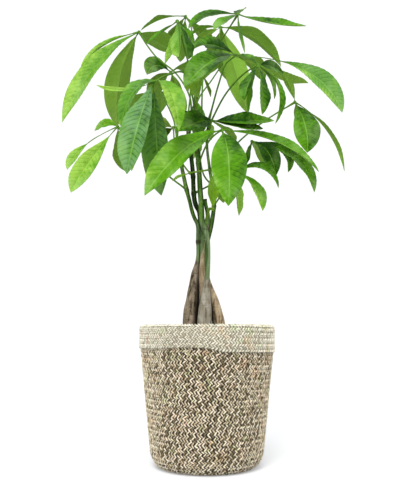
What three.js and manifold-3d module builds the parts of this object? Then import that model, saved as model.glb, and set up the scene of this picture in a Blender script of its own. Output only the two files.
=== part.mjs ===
// Potted money tree: a braided four-stemmed tree with compound leaves, in a woven basket.
// Millimetres, +Z up. The origin is the centre of the basket's flat underside, and the
// front of the plant faces -Y.
import * as THREE from 'three';
import { mergeVertices } from 'three/addons/utils/BufferGeometryUtils.js';
import Module from 'manifold-3d';

const wasm = await Module();
wasm.setup();

// Driving dimensions
const BASKET_TOP_RADIUS = 70.4;
const BASKET_FOOT_RADIUS = 58;
const BASKET_FOOT_HEIGHT = 17;
const BASKET_CONTACT_RADIUS = 46;
const BAND_OVERHANG = 1.4;
const RIM_ROUND = 4.2;
const RIM_INSIDE_ROUND = 1.2;
const BASKET_WALL = 6;
const BASKET_FLOOR = 6;
const BAND_BOTTOM = 116.8;
const ROPE_PITCH = 4.9;
const BAND_ROWS = 5;
const BODY_ROWS = 21;
const ROPE_BULGE = 0.55;
const BASKET_SIDES = 24;
const SEAT_GAP = 0.3;

const LINER_WALL = 1.5;
const LINER_FOOT_RADIUS = 46;
const LINER_TOP_RADIUS = 60;
const LINER_TOP = 121;
const LINER_LIP = 1.8;
const LINER_LIP_HEIGHT = 3;
const LINER_CORNER = 1.5;

const SOIL_TOP = 112;
const SOIL_RINGS = 4;
const SOIL_MOUND = 2;
const SOIL_LUMP = 0.7;

const STEM_SIDES = 10;
const BARK_HOLLOW = 0.05;
const BARK_FLUTES = 3;
const BARK_TWIST = 0.9;

const BLADE_THICKNESS = 0.8;
const BLADE_FOLD = 0.2;
const LONG_BLADE = [0, 0.1, 0.32, 0.58, 0.84, 1];
const SHORT_BLADE = [0, 0.14, 0.5, 0.84, 1];
const LONG_BLADE_FROM = 45;
const BLADE_WIDEST = 0.6;
const BLADE_STALK_SHARE = 0.05;
const BARE_SHIFT = 0.4;
const BLADE_SWELL = 1.15;
const BLADE_BLUNTNESS = 0.65;
const EDGE_WAVE = 0.05;
const EDGE_WAVE_RATE = 15;
const LEAFLET_STALK = 0.65;
const LEAFLET_POINT = 0.5;
const OUTWARD_LEAN = 0.45;
const PETIOLE_BASE = 1;
const PETIOLE_END = 0.8;
const PETIOLE_SIDES = 5;
const PETIOLE_STEPS = 2;
const HUB_RADIUS = 2.3;

const UP = new THREE.Vector3(0, 0, 1);
const group = new THREE.Group();

// Stems: centre line and radius [x, y, z, radius], from the foot in the soil to the tip
const STEMS = {
  trunk_left: [
    [-17.8, 0, 94, 7.6], [-17.6, 0, 120, 8], [-17.4, 0, 140, 7.8], [-16.9, 0, 155, 7.6],
    [-15.3, -1, 166, 7], [-14.2, -1, 177, 6], [-13.4, -1, 187, 5.1], [-12.6, -1, 194, 4.3],
    [-11.5, -1, 200, 3.3], [-10.2, -1, 206, 2.6], [-9.3, -1, 214, 2.1], [-9.3, -1, 225, 2.1],
    [-9.2, -1, 235, 2.4], [-9.1, -2, 244, 2.5], [-10.3, -3, 249, 2.3], [-12.7, -4, 253, 2],
    [-15.4, -4, 260, 2], [-18.4, -4, 272, 1.9], [-21.8, -4, 285, 2.1], [-27.6, -2, 312, 1.9],
    [-34.1, 4, 345, 1.5],
  ],
  trunk_front: [
    [-2.8, -9, 94, 7.6], [-2.8, -9, 120, 7.9], [-2.8, -9, 140, 7.6], [-2.1, -9, 155, 6.8],
    [-1.6, -8, 166, 5.9], [-1, -8, 176, 4.7], [-0.5, -8, 184, 3.5], [0.3, -8, 192, 2.7],
    [1.2, -8, 200, 2.1], [1.7, -8, 211, 1.9], [1.6, -8, 222, 1.9], [1.1, -8, 229, 2],
    [-0.3, -8, 235, 2.4], [-2.1, -8, 241, 2.7], [-4.1, -8.5, 246, 2.9], [-5.3, -9, 252, 2.9],
    [-5.8, -9, 260, 2.9], [-6.3, -9, 271, 2.9], [-7.3, -7.5, 284, 2.8], [-8.6, -6, 306, 2.6],
    [-11.1, -4, 334, 2.4], [-12.7, 0, 364, 2], [-12.9, 4, 408, 1.7],
  ],
  trunk_right: [
    [13, 2, 94, 7.4], [12.8, 2, 120, 7.5], [12.4, 2, 140, 7.1], [9.1, 2, 159, 5.6],
    [6.2, 2, 170, 4.7], [3.6, 2, 179, 3.4], [1.2, 2, 188, 2.5], [-0.1, 2, 198, 2.1],
    [-0.6, 2, 213, 2], [-0.2, 1.5, 226, 2.1], [1.4, 0, 233, 2.3], [2.8, -1, 239, 2.4],
    [4.2, -1.5, 245, 2.4], [5.6, -2, 253, 2.4], [7, -4, 262, 2.2], [7.5, -5, 269, 2.1],
    [6.4, -6, 284, 1.9], [3, -5, 307, 1.6], [0, -3, 336, 1.4], [2.1, -6, 362, 1.2],
  ],
  trunk_back: [
    [-2, 11, 94, 7.6], [-2, 11, 120, 7.8], [-2.5, 11, 142, 7.2], [-5, 9.5, 166, 4.8],
    [-5.6, 8, 180, 3.6], [-5, 7.5, 200, 3], [-4.4, 7, 214, 2.8], [-4.3, 6.5, 226, 2.7],
    [-4.3, 6, 234, 2.7], [-5.8, 6, 242, 2.6], [-7.1, 6, 250, 2.2], [-7.7, 6, 258, 2],
    [-8.9, 5, 264, 2], [-11.6, 5, 269, 2.1], [-13.4, 6, 275, 2.1], [-14.4, 7, 283, 2],
    [-15, 9, 295, 1.9], [-15.4, 10, 306, 1.9], [-18.5, 14, 335, 1.8], [-24, 25, 383, 1.6],
  ],
};

// Leaves: the stem each grows from, its petiole, the hub where its leaflets meet, and
// leaflets as [middle of the midrib, tip, width, roll in degrees, share that is bare stalk]
const LEAVES = {
  leaf_top_left: {
    stem: 'trunk_front', hub: [-77, 5, 470],
    petiole: [
      [-11.5, -3.5, 338.5], [-17, 1, 360], [-19, 4, 392], [-35, 8, 422], [-56, 8, 440],
      [-68, 6, 455]
    ],
    leaflets: [
      [[-118, 25, 465], [-146, 28, 439], 16, 45, 0.15],
      [[-121, -8, 425], [-154, -20, 355], 28, 55],
      [[-101, 30, 427], [-105, 45, 372], 30, -35],
      [[-59, 34, 473], [-37, 50, 466], 28, -5],
      [[-98, 60, 459], [-103, 80, 421], 24, 0],
    ],
  },
  leaf_top_centre: {
    stem: 'trunk_front', hub: [-31, -50, 454],
    petiole: [[-13, 3, 398], [-19, -8, 421], [-25, -26, 438]],
    leaflets: [
      [[-48, -48, 442], [-62, -48, 430], 8, 25, 0.1],
      [[-31, -68, 422], [-42, -72, 397], 17, -15],
      [[-28, -78, 421], [-27, -92, 395], 21, -45],
      [[-21, -44, 444], [-15, -44, 430], 14, -5],
      [[-23, -58, 429], [-20, -62, 406], 21, 65],
    ],
  },
  leaf_top_behind: {
    stem: 'trunk_back', hub: [-26, 48, 512],
    petiole: [[-22.5, 22, 369.5], [-19, 32, 412], [-19, 45, 497]],
    leaflets: [
      [[-53, 47, 509], [-79, 42, 491], 15, 30, 0.25],
      [[-30, 75, 492], [-34, 88, 472], 20, 10],
      [[-5, 85, 505], [9, 98, 487], 20, -25],
      [[-39, 72, 503], [-49, 78, 483], 18, 20],
    ],
  },
  leaf_top_right: {
    stem: 'trunk_front', hub: [34, -20, 478],
    petiole: [[-10.5, -4.5, 326], [-6, -3, 352], [-5.5, 3, 392], [-2, 17, 432], [17, 16, 466]],
    leaflets: [
      [[2, -26, 473], [-20, -26, 458], 18, 30],
      [[69, -34, 460], [106, -32, 458], 20, -35],
      [[34, -48, 441], [39, -52, 418], 7, 15],
      [[37, -2, 490], [43, 14, 503], 14, 35],
      [[21, -46, 457], [7, -58, 440], 19, -20],
    ],
  },
  leaf_crown_back: {
    stem: 'trunk_back', hub: [17, 60, 504],
    petiole: [[-21.5, 20, 361.5], [-5, 38, 427], [12, 52, 473]],
    leaflets: [
      [[-4, 59, 502], [-23, 60, 491], 12, 25, 0.15],
      [[2, 56, 493], [-16, 56, 481], 13, 5, 0.15],
      [[58, 65, 493], [90, 60, 453], 25, -10],
      [[33, 68, 459], [48, 58, 394], 29, 30],
      [[14, 80, 484], [-1, 84, 454], 26, 20],
    ],
  },
  leaf_upper_right: {
    stem: 'trunk_right', hub: [32, -10, 435],
    petiole: [[2, -6, 362], [13, -6, 404], [21, -8, 426]],
    leaflets: [
      [[5, -48, 411], [-22, -78, 370], 31, 0],
      [[106, -20, 413], [143, -25, 364], 25, -60, 0.3],
      [[5, 14, 459], [-15, 10, 452], 20, 65],
      [[52, 30, 445], [68, 48, 429], 24, 15],
      [[79, 12, 420], [117, 28, 419], 19, 20],
    ],
  },
  leaf_right_front: {
    stem: 'trunk_right', hub: [52, -60, 401],
    petiole: [[1, -5, 354], [20, -24, 385], [40, -50, 398]],
    leaflets: [
      [[54, -80, 369], [53, -82, 341], 17, 25],
      [[72, -62, 376], [68, -62, 339], 15, 5],
      [[66, -40, 409], [82, -25, 407], 13, -55],
      [[66, -42, 393], [70, -38, 374], 12, -45],
      [[41, -80, 375], [36, -86, 354], 17, -45],
      [[42, -50, 381], [42, -45, 356], 17, -15],
      [[41, -50, 414], [28, -46, 416], 14, 20],
    ],
  },
  leaf_far_right: {
    stem: 'trunk_right', hub: [97, 0, 385],
    petiole: [[6, -6, 287], [27, 4, 332], [61, 8, 364]],
    leaflets: [
      [[105, -18, 351], [105, -25, 320], 28, -60],
      [[132, 5, 355], [149, 0, 307], 12, 5, 0.2],
      [[91, -6, 401], [81, -14, 414], 9, -40],
      [[106, 30, 378], [113, 52, 366], 15, 10],
      [[113, 25, 369], [121, 40, 347], 22, 0],
    ],
  },
  leaf_front_low: {
    stem: 'trunk_front', hub: [15, -60, 333],
    petiole: [[-9, -5.5, 313.5], [-1, -26, 327], [7, -48, 331]],
    leaflets: [
      [[20, -96, 293], [19, -112, 245], 33, -10],
      [[71, -55, 322], [112, -50, 293], 22, -15],
      [[18, -70, 295], [16, -68, 262], 22, -10],
      [[-22, -88, 304], [-56, -110, 255], 31, 15],
    ],
  },
  leaf_centre: {
    stem: 'trunk_right', hub: [5, -22, 356],
    petiole: [[0, -3.5, 339], [3, -12, 350]],
    leaflets: [
      [[37, -22, 356], [73, -5, 362], 21, -30],
      [[35, -24, 350], [60, -14, 350], 15, -35],
      [[-9, -32, 351], [-32, -46, 336], 29, 30],
      [[20, 2, 353], [32, 18, 345], 16, 0],
    ],
  },
  leaf_front_left: {
    stem: 'trunk_front', hub: [-53, -70, 379],
    petiole: [[-13, 1.5, 378], [-23, -16, 410], [-40, -50, 395]],
    leaflets: [
      [[-35, -98, 359], [-26, -108, 316], 22, 25],
      [[-72, -76, 366], [-85, -72, 333], 21, 30, -0.12],
      [[-64, -98, 327], [-73, -105, 276], 30, 15],
      [[-49, -72, 317], [-44, -70, 264], 30, 5],
      [[-69, -50, 338], [-76, -45, 295], 25, 55],
      [[-84, -60, 375], [-111, -62, 379], 5, 60, 0.2],
    ],
  },
  leaf_far_left: {
    stem: 'trunk_left', hub: [-95, -20, 350],
    petiole: [[-21.5, -4, 285], [-42, -8, 300], [-71, -14, 326]],
    leaflets: [
      [[-108, -14, 355], [-122, -6, 350], 13, 50],
      [[-130, -15, 331], [-147, -20, 303], 13, 60, 0.45],
      [[-120, -38, 307], [-136, -48, 272], 22, 65, 0.12],
      [[-95, 15, 335], [-89, 25, 312], 22, 20],
      [[-80, 10, 347], [-64, 20, 327], 22, -15],
    ],
  },
  young_leaf_left: {
    stem: 'trunk_back', hub: [-38, 20, 363],
    petiole: [[-15.5, 9.5, 303], [-27, 14, 319], [-36, 18, 343]],
    leaflets: [
      [[-49, 18, 366], [-59, 14, 372], 16, 80],
      [[-46, 22, 359], [-54, 20, 356], 8, 70],
      [[-46, 24, 356], [-53, 26, 348], 11, 70],
    ],
  },
  young_leaf_centre: {
    stem: 'trunk_front', hub: [-4, -25, 407],
    petiole: [[-12.5, 0.5, 370], [-10, -10, 390], [-8, -20, 402]],
    leaflets: [
      [[-10, -36, 391], [-8, -40, 375], 17, -30],
      [[0, -28, 392], [4, -28, 380], 8, 40],
      [[-17, -20, 398], [-20, -15, 390], 11, 25],
    ],
  },
  leaf_inner_left: {
    stem: 'trunk_left', hub: [-42, 30, 433],
    petiole: [[-33.5, 3.5, 342.5], [-30, 14, 381], [-34, 24, 414]],
    leaflets: [
      [[-58, 20, 437], [-68, 14, 423], 22, 85],
      [[-56, 30, 419], [-66, 36, 397], 21, -20],
      [[-36, 42, 414], [-35, 48, 386], 21, 5],
      [[-25, 50, 447], [-13, 62, 432], 21, -5],
    ],
  },
  leaf_lower_right: {
    stem: 'trunk_back', hub: [52, 40, 353],
    petiole: [[-14.5, 7, 283.5], [17, 24, 305], [46, 36, 332]],
    leaflets: [
      [[69, 22, 334], [76, 15, 305], 20, -80],
      [[90, 55, 345], [96, 62, 322], 17, -75],
      [[104, 50, 335], [123, 42, 293], 20, -70],
      [[45, 30, 334], [36, 26, 313], 11, 85],
      [[64, 72, 352], [73, 92, 335], 21, 0],
    ],
  },
  leaf_low_right: {
    stem: 'trunk_right', hub: [31, -15, 302],
    petiole: [[7, -5, 267], [16, -8, 280], [24, -12, 292]],
    leaflets: [
      [[59, -10, 308], [76, -10, 286], 16, -35],
      [[50, -25, 283], [57, -30, 257], 16, -25],
      [[32, -20, 274], [33, -25, 253], 16, 65],
      [[22, 12, 289], [18, 20, 276], 19, 45],
    ],
  },
  young_shoot_right: {
    stem: 'trunk_front', hub: [6, -30, 259],
    petiole: [[-2.5, -8, 241.5], [0, -6, 255], [2, -16, 261]],
    leaflets: [
      [[6, -33, 276], [8, -38, 294], 13, -10],
    ],
  },
  young_shoot_left: {
    stem: 'trunk_right', hub: [-18, -26, 298],
    petiole: [[2.5, -5, 307], [-6, -22, 301]],
    leaflets: [
      [[-27, -28, 294], [-36, -28, 289], 6, 20, 0.15],
    ],
  },
  leaf_back_left: {
    stem: 'trunk_left', hub: [-59, 95, 435],
    petiole: [[-32, 2, 334.5], [-39, 45, 380], [-51, 80, 416]],
    leaflets: [
      [[-77, 118, 422], [-89, 128, 385], 24, -15],
      [[-91, 108, 424], [-114, 112, 401], 24, -10],
      [[-59, 122, 438], [-64, 144, 424], 22, 0],
      [[-40, 105, 431], [-33, 112, 405], 22, -5],
    ],
  },
  leaf_back_top: {
    stem: 'trunk_back', hub: [22, 95, 476],
    petiole: [[-20.5, 18, 352.5], [-10, 66, 415], [6, 88, 448]],
    leaflets: [
      [[4, 108, 476], [-10, 120, 457], 24, 10],
      [[36, 112, 463], [44, 122, 436], 24, 10],
      [[48, 108, 482], [73, 116, 468], 24, -15],
      [[24, 122, 483], [28, 148, 472], 24, 0],
    ],
  },
  leaf_back_low: {
    stem: 'trunk_right', hub: [-8, 70, 367],
    petiole: [[6, -5.5, 289], [-3, 10, 304], [-8, 42, 336]],
    leaflets: [
      [[-23, 82, 360], [-43, 90, 345], 24, -5],
      [[-12, 88, 392], [-13, 98, 424], 24, 0],
      [[-1, 100, 384], [6, 125, 382], 22, 20],
      [[-14, 95, 359], [-19, 115, 352], 22, 20],
    ],
  },
};

// Solids and their joins
function geometryOf(positions, faces) {
  const geometry = new THREE.BufferGeometry();
  geometry.setAttribute('position', new THREE.Float32BufferAttribute(positions, 3));
  geometry.setIndex(faces);
  return geometry;
}

function solidFrom(geometry) {
  const plain = geometry.clone();
  plain.deleteAttribute('normal');
  plain.deleteAttribute('uv');
  const merged = mergeVertices(plain, 1e-4);
  return new wasm.Manifold(new wasm.Mesh({
    numProp: 3,
    vertProperties: Float32Array.from(merged.attributes.position.array),
    triVerts: Uint32Array.from(merged.index.array),
  }));
}

function geometryFrom(solid) {
  const mesh = solid.getMesh();
  return geometryOf(Array.from(mesh.vertProperties), Array.from(mesh.triVerts));
}

function finish(color, roughness) {
  return new THREE.MeshStandardMaterial({ color, roughness, metalness: 0 });
}

function addMesh(name, geometry, material) {
  geometry.computeVertexNormals();
  const mesh = new THREE.Mesh(geometry, material);
  mesh.name = name;
  group.add(mesh);
}

// A closed tube along points, with its own radius at each
function taperedTube(points, radii, sides, hollow = 0) {
  const positions = [];
  const faces = [];
  const last = points.length - 1;
  let across = new THREE.Vector3(0, 1, 0);
  points.forEach((point, i) => {
    const ahead = points[Math.min(i + 1, last)];
    const behind = points[Math.max(i - 1, 0)];
    const along = ahead.clone().sub(behind).normalize();
    across.addScaledVector(along, -across.dot(along)).normalize();
    const beside = along.clone().cross(across);
    for (let k = 0; k < sides; k += 1) {
      const angle = (2 * Math.PI * k) / sides;
      const dip = 1 - hollow * (0.5 + 0.5 * Math.sin(BARK_FLUTES * angle + BARK_TWIST * i));
      const radius = radii[i] * dip;
      const rim = point.clone()
        .addScaledVector(across, radius * Math.cos(angle))
        .addScaledVector(beside, radius * Math.sin(angle));
      positions.push(rim.x, rim.y, rim.z);
    }
  });
  for (let i = 0; i < last; i += 1) {
    for (let k = 0; k < sides; k += 1) {
      const a = i * sides + k;
      const b = i * sides + ((k + 1) % sides);
      faces.push(a, b, b + sides, a, b + sides, a + sides);
    }
  }
  const foot = positions.length / 3;
  positions.push(...points[0].toArray(), ...points[last].toArray());
  for (let k = 0; k < sides; k += 1) {
    const next = (k + 1) % sides;
    faces.push(foot, next, k);
    faces.push(foot + 1, last * sides + k, last * sides + next);
  }
  return geometryOf(positions, faces);
}

function smoothLine(places, steps) {
  const curve = new THREE.CatmullRomCurve3(places.map((p) => new THREE.Vector3(...p)));
  const count = (places.length - 1) * steps;
  return Array.from({ length: count + 1 }, (_, i) => curve.getPoint(i / count));
}

function stemGeometry(name, grow, hollow) {
  const points = STEMS[name].map(([x, y, z]) => new THREE.Vector3(x, y, z));
  const radii = STEMS[name].map((row) => row[3] + grow);
  return taperedTube(points, radii, STEM_SIDES, hollow);
}

// Leaflet blade: a thin arched solid, folded along its midrib and waved at its edges
function halfWidth(share, width, bare) {
  const widest = BLADE_WIDEST + BARE_SHIFT * (bare - BLADE_STALK_SHARE);
  let shape = 0;
  if (share >= widest) {
    const over = (share - widest) / (1 - widest);
    shape = Math.max(0, Math.cos((Math.PI / 2) * over)) ** BLADE_BLUNTNESS;
  } else if (share > bare) {
    shape = Math.sin((Math.PI / 2) * ((share - bare) / (widest - bare))) ** BLADE_SWELL;
  }
  return Math.max((shape * width) / 2, share < 0.5 ? LEAFLET_STALK : LEAFLET_POINT);
}

function bladeFrames(hubPlace, midPlace, tipPlace, roll) {
  const hub = new THREE.Vector3(...hubPlace);
  const mid = new THREE.Vector3(...midPlace);
  const tip = new THREE.Vector3(...tipPlace);
  const control = mid.clone().multiplyScalar(2).sub(hub.clone().add(tip).multiplyScalar(0.5));
  const midrib = new THREE.QuadraticBezierCurve3(hub, control, tip);
  const chord = tip.clone().sub(hub).normalize();
  const outward = new THREE.Vector3(hub.x, hub.y, 0).normalize();
  const lift = UP.clone().addScaledVector(outward, OUTWARD_LEAN);
  lift.addScaledVector(chord, -lift.dot(chord)).normalize();
  const level = chord.clone().cross(lift);
  const angle = THREE.MathUtils.degToRad(roll);
  const stations = hub.distanceTo(tip) < LONG_BLADE_FROM ? SHORT_BLADE : LONG_BLADE;
  return stations.map((share) => {
    const along = midrib.getTangent(share);
    const side = level.clone().addScaledVector(along, -level.dot(along)).normalize();
    const face = side.clone().cross(along);
    const across = side.clone().multiplyScalar(Math.cos(angle))
      .addScaledVector(face, Math.sin(angle));
    const normal = face.clone().multiplyScalar(Math.cos(angle))
      .addScaledVector(side, -Math.sin(angle));
    return { share, point: midrib.getPoint(share), across, normal };
  });
}

function bladeGeometry(hubPlace, leaflet) {
  const [midPlace, tipPlace, width, roll, bare = BLADE_STALK_SHARE] = leaflet;
  const positions = [];
  const faces = [];
  const frames = bladeFrames(hubPlace, midPlace, tipPlace, roll);
  frames.forEach(({ share, point, across, normal }) => {
    const half = halfWidth(share, width, bare);
    for (const skin of [BLADE_THICKNESS / 2, -BLADE_THICKNESS / 2]) {
      for (const side of [-1, 0, 1]) {
        const wave = EDGE_WAVE * Math.sin(EDGE_WAVE_RATE * share + side);
        const lift = side === 0 ? skin : skin + half * (BLADE_FOLD + wave);
        const corner = point.clone()
          .addScaledVector(across, side * half).addScaledVector(normal, lift);
        positions.push(corner.x, corner.y, corner.z);
      }
    }
  });
  const last = (frames.length - 1) * 6;
  for (let a = 0; a < last; a += 6) {
    const b = a + 6;
    for (const j of [0, 1]) {
      faces.push(a + j, a + j + 1, b + j + 1, a + j, b + j + 1, b + j);
      faces.push(a + 3 + j, b + 4 + j, a + 4 + j, a + 3 + j, b + 3 + j, b + 4 + j);
    }
    faces.push(a, b, b + 3, a, b + 3, a + 3, a + 2, a + 5, b + 5, a + 2, b + 5, b + 2);
  }
  faces.push(0, 3, 4, 0, 4, 1, 1, 4, 5, 1, 5, 2);
  faces.push(last, last + 4, last + 3, last, last + 1, last + 4);
  faces.push(last + 1, last + 5, last + 4, last + 1, last + 2, last + 5);
  return geometryOf(positions, faces);
}

// One compound leaf: petiole, hub and leaflets grown together, its base seated on the stem
function addLeaf(name, { stem, hub, petiole, leaflets }) {
  const points = smoothLine([...petiole, hub], PETIOLE_STEPS);
  const radii = points.map((_, i) => (
    THREE.MathUtils.lerp(PETIOLE_BASE, PETIOLE_END, i / (points.length - 1))
  ));
  let leaf = solidFrom(taperedTube(points, radii, PETIOLE_SIDES));
  const knob = new THREE.IcosahedronGeometry(HUB_RADIUS, 0).translate(...hub);
  leaf = leaf.add(solidFrom(knob));
  for (const leaflet of leaflets) {
    leaf = leaf.add(solidFrom(bladeGeometry(hub, leaflet)));
  }
  leaf = leaf.subtract(solidFrom(stemGeometry(stem, SEAT_GAP, 0)));
  const body = leaf.decompose().sort((a, b) => b.volume() - a.volume())[0];
  const young = name.startsWith('young');
  addMesh(name, geometryFrom(body), finish(young ? 0x8db344 : 0x4c9a2f, 0.45));
}

// Trunk and green stem, one grown piece, fattest at the soil
function addStem(name) {
  addMesh(name, stemGeometry(name, 0, BARK_HOLLOW), finish(0x7d7060, 0.85));
}

// Soil, slightly mounded and lumpy, with a plain hole for each stem
function soilHeight(radius, angle) {
  const lumps = Math.sin(5 * angle + 0.12 * radius) + Math.sin(3 * angle - 0.21 * radius);
  return SOIL_TOP + SOIL_MOUND * (1 - radius / LINER_TOP_RADIUS) + SOIL_LUMP * lumps;
}

function linerRadiusAt(height) {
  const foot = BASKET_FLOOR + SEAT_GAP;
  const share = (height - foot) / (LINER_TOP - foot);
  return LINER_FOOT_RADIUS + (LINER_TOP_RADIUS - LINER_FOOT_RADIUS) * share;
}

function addSoil() {
  const floor = BASKET_FLOOR + LINER_WALL + 2 * SEAT_GAP;
  const rim = linerRadiusAt(SOIL_TOP) - LINER_WALL - 2 * SEAT_GAP;
  const foot = linerRadiusAt(floor) - LINER_WALL - 2 * SEAT_GAP;
  const positions = [0, 0, soilHeight(0, 0)];
  const faces = [];
  for (let ring = 1; ring <= SOIL_RINGS; ring += 1) {
    const radius = (rim * ring) / SOIL_RINGS;
    for (let k = 0; k < BASKET_SIDES; k += 1) {
      const angle = (2 * Math.PI * k) / BASKET_SIDES;
      const height = ring === SOIL_RINGS ? SOIL_TOP : soilHeight(radius, angle);
      positions.push(radius * Math.cos(angle), radius * Math.sin(angle), height);
    }
  }
  for (let k = 0; k < BASKET_SIDES; k += 1) {
    const angle = (2 * Math.PI * k) / BASKET_SIDES;
    positions.push(foot * Math.cos(angle), foot * Math.sin(angle), floor);
  }
  positions.push(0, 0, floor);
  const base = 1 + SOIL_RINGS * BASKET_SIDES;
  for (let k = 0; k < BASKET_SIDES; k += 1) {
    const next = (k + 1) % BASKET_SIDES;
    faces.push(0, 1 + k, 1 + next);
    for (let ring = 0; ring < SOIL_RINGS; ring += 1) {
      const a = 1 + ring * BASKET_SIDES;
      const b = a + BASKET_SIDES;
      faces.push(a + k, b + k, b + next, a + k, b + next, a + next);
    }
    faces.push(base + BASKET_SIDES, base + next, base + k);
  }
  let soil = solidFrom(geometryOf(positions, faces));
  for (const name of Object.keys(STEMS)) {
    soil = soil.subtract(solidFrom(stemGeometry(name, SEAT_GAP, 0)));
  }
  addMesh('soil', geometryFrom(soil), finish(0x3a2a1e, 0.95));
}

// Basket: rows of coiled rope, with a plain band of pale rope at the rim
function bodyRadiusAt(height) {
  const share = (height - BASKET_FOOT_HEIGHT) / (BAND_BOTTOM - BASKET_FOOT_HEIGHT);
  return THREE.MathUtils.lerp(BASKET_FOOT_RADIUS, BASKET_TOP_RADIUS - BAND_OVERHANG, share);
}

function ropeRows(bottom, rows, radiusAt) {
  const points = [];
  for (let row = 0; row < rows; row += 1) {
    const low = bottom + row * ROPE_PITCH;
    const middle = low + ROPE_PITCH / 2;
    points.push([radiusAt(low) - ROPE_BULGE, low], [radiusAt(middle), middle]);
  }
  return points;
}

function lathe(points, sides) {
  const profile = points.map(([radius, height]) => new THREE.Vector2(radius, height));
  return new THREE.LatheGeometry(profile, sides).rotateX(Math.PI / 2);
}

function addBasketBody() {
  const firstRow = BAND_BOTTOM - SEAT_GAP - BODY_ROWS * ROPE_PITCH;
  const top = BAND_BOTTOM - SEAT_GAP;
  const inner = (height) => bodyRadiusAt(height) - BASKET_WALL;
  const corner = BASKET_FOOT_RADIUS - BASKET_CONTACT_RADIUS;
  const points = [[0, 0], [BASKET_CONTACT_RADIUS, 0]];
  for (const degrees of [22, 45, 68]) {
    const angle = THREE.MathUtils.degToRad(degrees);
    points.push([
      BASKET_CONTACT_RADIUS + corner * Math.sin(angle), firstRow * (1 - Math.cos(angle)),
    ]);
  }
  points.push(...ropeRows(firstRow, BODY_ROWS, bodyRadiusAt));
  points.push([bodyRadiusAt(top) - ROPE_BULGE, top], [inner(top), top]);
  const cornerTop = 2 * BASKET_FLOOR;
  points.push([inner(cornerTop), cornerTop]);
  points.push([BASKET_CONTACT_RADIUS - 1, BASKET_FLOOR], [0, BASKET_FLOOR]);
  addMesh('basket_body', lathe(points, BASKET_SIDES), finish(0xa8946c, 0.9));
}

function addBasketBand() {
  const outer = () => BASKET_TOP_RADIUS;
  const top = BAND_BOTTOM + BAND_ROWS * ROPE_PITCH;
  const inner = BASKET_TOP_RADIUS - BASKET_WALL;
  const points = [[inner, BAND_BOTTOM], ...ropeRows(BAND_BOTTOM, BAND_ROWS - 1, outer)];
  points.push([BASKET_TOP_RADIUS - ROPE_BULGE, top - ROPE_PITCH]);
  for (const degrees of [12, 36, 63, 90]) {
    const angle = THREE.MathUtils.degToRad(degrees);
    points.push([
      BASKET_TOP_RADIUS - RIM_ROUND * (1 - Math.cos(angle)),
      top - RIM_ROUND * (1 - Math.sin(angle)),
    ]);
  }
  points.push([inner + RIM_INSIDE_ROUND / 3, top - RIM_INSIDE_ROUND / 2]);
  points.push([inner, top - 2 * RIM_INSIDE_ROUND], [inner, BAND_BOTTOM]);
  addMesh('basket_band', lathe(points, BASKET_SIDES), finish(0xd9d3bb, 0.9));
}

// Plastic liner that holds the soil, standing on the basket's floor
function addLiner() {
  const foot = BASKET_FLOOR + SEAT_GAP;
  const under = LINER_TOP - LINER_LIP_HEIGHT;
  const points = [
    [0, foot], [LINER_FOOT_RADIUS - LINER_CORNER, foot],
    [linerRadiusAt(foot + LINER_CORNER), foot + LINER_CORNER],
    [linerRadiusAt(under), under], [LINER_TOP_RADIUS + LINER_LIP, under],
    [LINER_TOP_RADIUS + LINER_LIP, LINER_TOP], [LINER_TOP_RADIUS - LINER_WALL, LINER_TOP],
    [linerRadiusAt(foot + LINER_WALL) - LINER_WALL, foot + LINER_WALL], [0, foot + LINER_WALL],
  ];
  addMesh('liner_pot', lathe(points, BASKET_SIDES), finish(0x23211f, 0.6));
}

addBasketBody();
addBasketBand();
addLiner();
addSoil();
Object.keys(STEMS).forEach(addStem);
Object.entries(LEAVES).forEach(([name, leaf]) => addLeaf(name, leaf));

export default group;
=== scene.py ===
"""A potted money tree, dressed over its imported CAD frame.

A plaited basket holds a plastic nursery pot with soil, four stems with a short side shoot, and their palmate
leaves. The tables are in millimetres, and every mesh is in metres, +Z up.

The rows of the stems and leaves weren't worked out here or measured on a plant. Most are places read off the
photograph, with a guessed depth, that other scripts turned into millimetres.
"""

import logging
import math
from collections.abc import Iterable, Sequence
from dataclasses import dataclass, field
from enum import Enum
from typing import NamedTuple

import bpy
import numpy as np
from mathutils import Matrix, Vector, noise


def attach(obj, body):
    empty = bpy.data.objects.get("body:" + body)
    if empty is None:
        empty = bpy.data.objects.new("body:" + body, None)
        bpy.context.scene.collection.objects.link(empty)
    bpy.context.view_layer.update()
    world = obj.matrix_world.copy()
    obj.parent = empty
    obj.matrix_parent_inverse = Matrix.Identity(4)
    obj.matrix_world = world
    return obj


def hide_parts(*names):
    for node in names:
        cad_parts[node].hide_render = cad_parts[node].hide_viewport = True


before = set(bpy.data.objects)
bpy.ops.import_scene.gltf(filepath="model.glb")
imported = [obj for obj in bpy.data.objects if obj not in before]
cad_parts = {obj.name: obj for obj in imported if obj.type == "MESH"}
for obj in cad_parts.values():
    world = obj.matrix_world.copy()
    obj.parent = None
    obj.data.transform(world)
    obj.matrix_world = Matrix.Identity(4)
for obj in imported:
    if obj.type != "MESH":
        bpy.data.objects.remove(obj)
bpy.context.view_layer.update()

LOG = logging.getLogger("money_tree")
MM = 0.001
BODY = "root"
UP = np.array([0.0, 0.0, 1.0])

Pair = tuple[float, float]
Point = tuple[float, float, float]
Colour = tuple[float, float, float]
Face = tuple[int, ...]


class Slot(Enum):
    """The material slots of the part's record."""

    BASKET_ROPE = "basket_rope"
    RIM_ROPE = "rim_rope"
    LINER_PLASTIC = "liner_plastic"
    SOIL = "soil"
    BARK = "bark"
    LEAF_GREEN = "leaf_green"
    YOUNG_LEAF = "young_leaf"


class Trunk(Enum):
    """The stems of the plant, by where they stand, and the cut side shoot between them."""

    LEFT = "left"
    FRONT = "front"
    RIGHT = "right"
    BACK = "back"
    STUB = "stub"


# Helpers for vectors, curves and meshes


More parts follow.
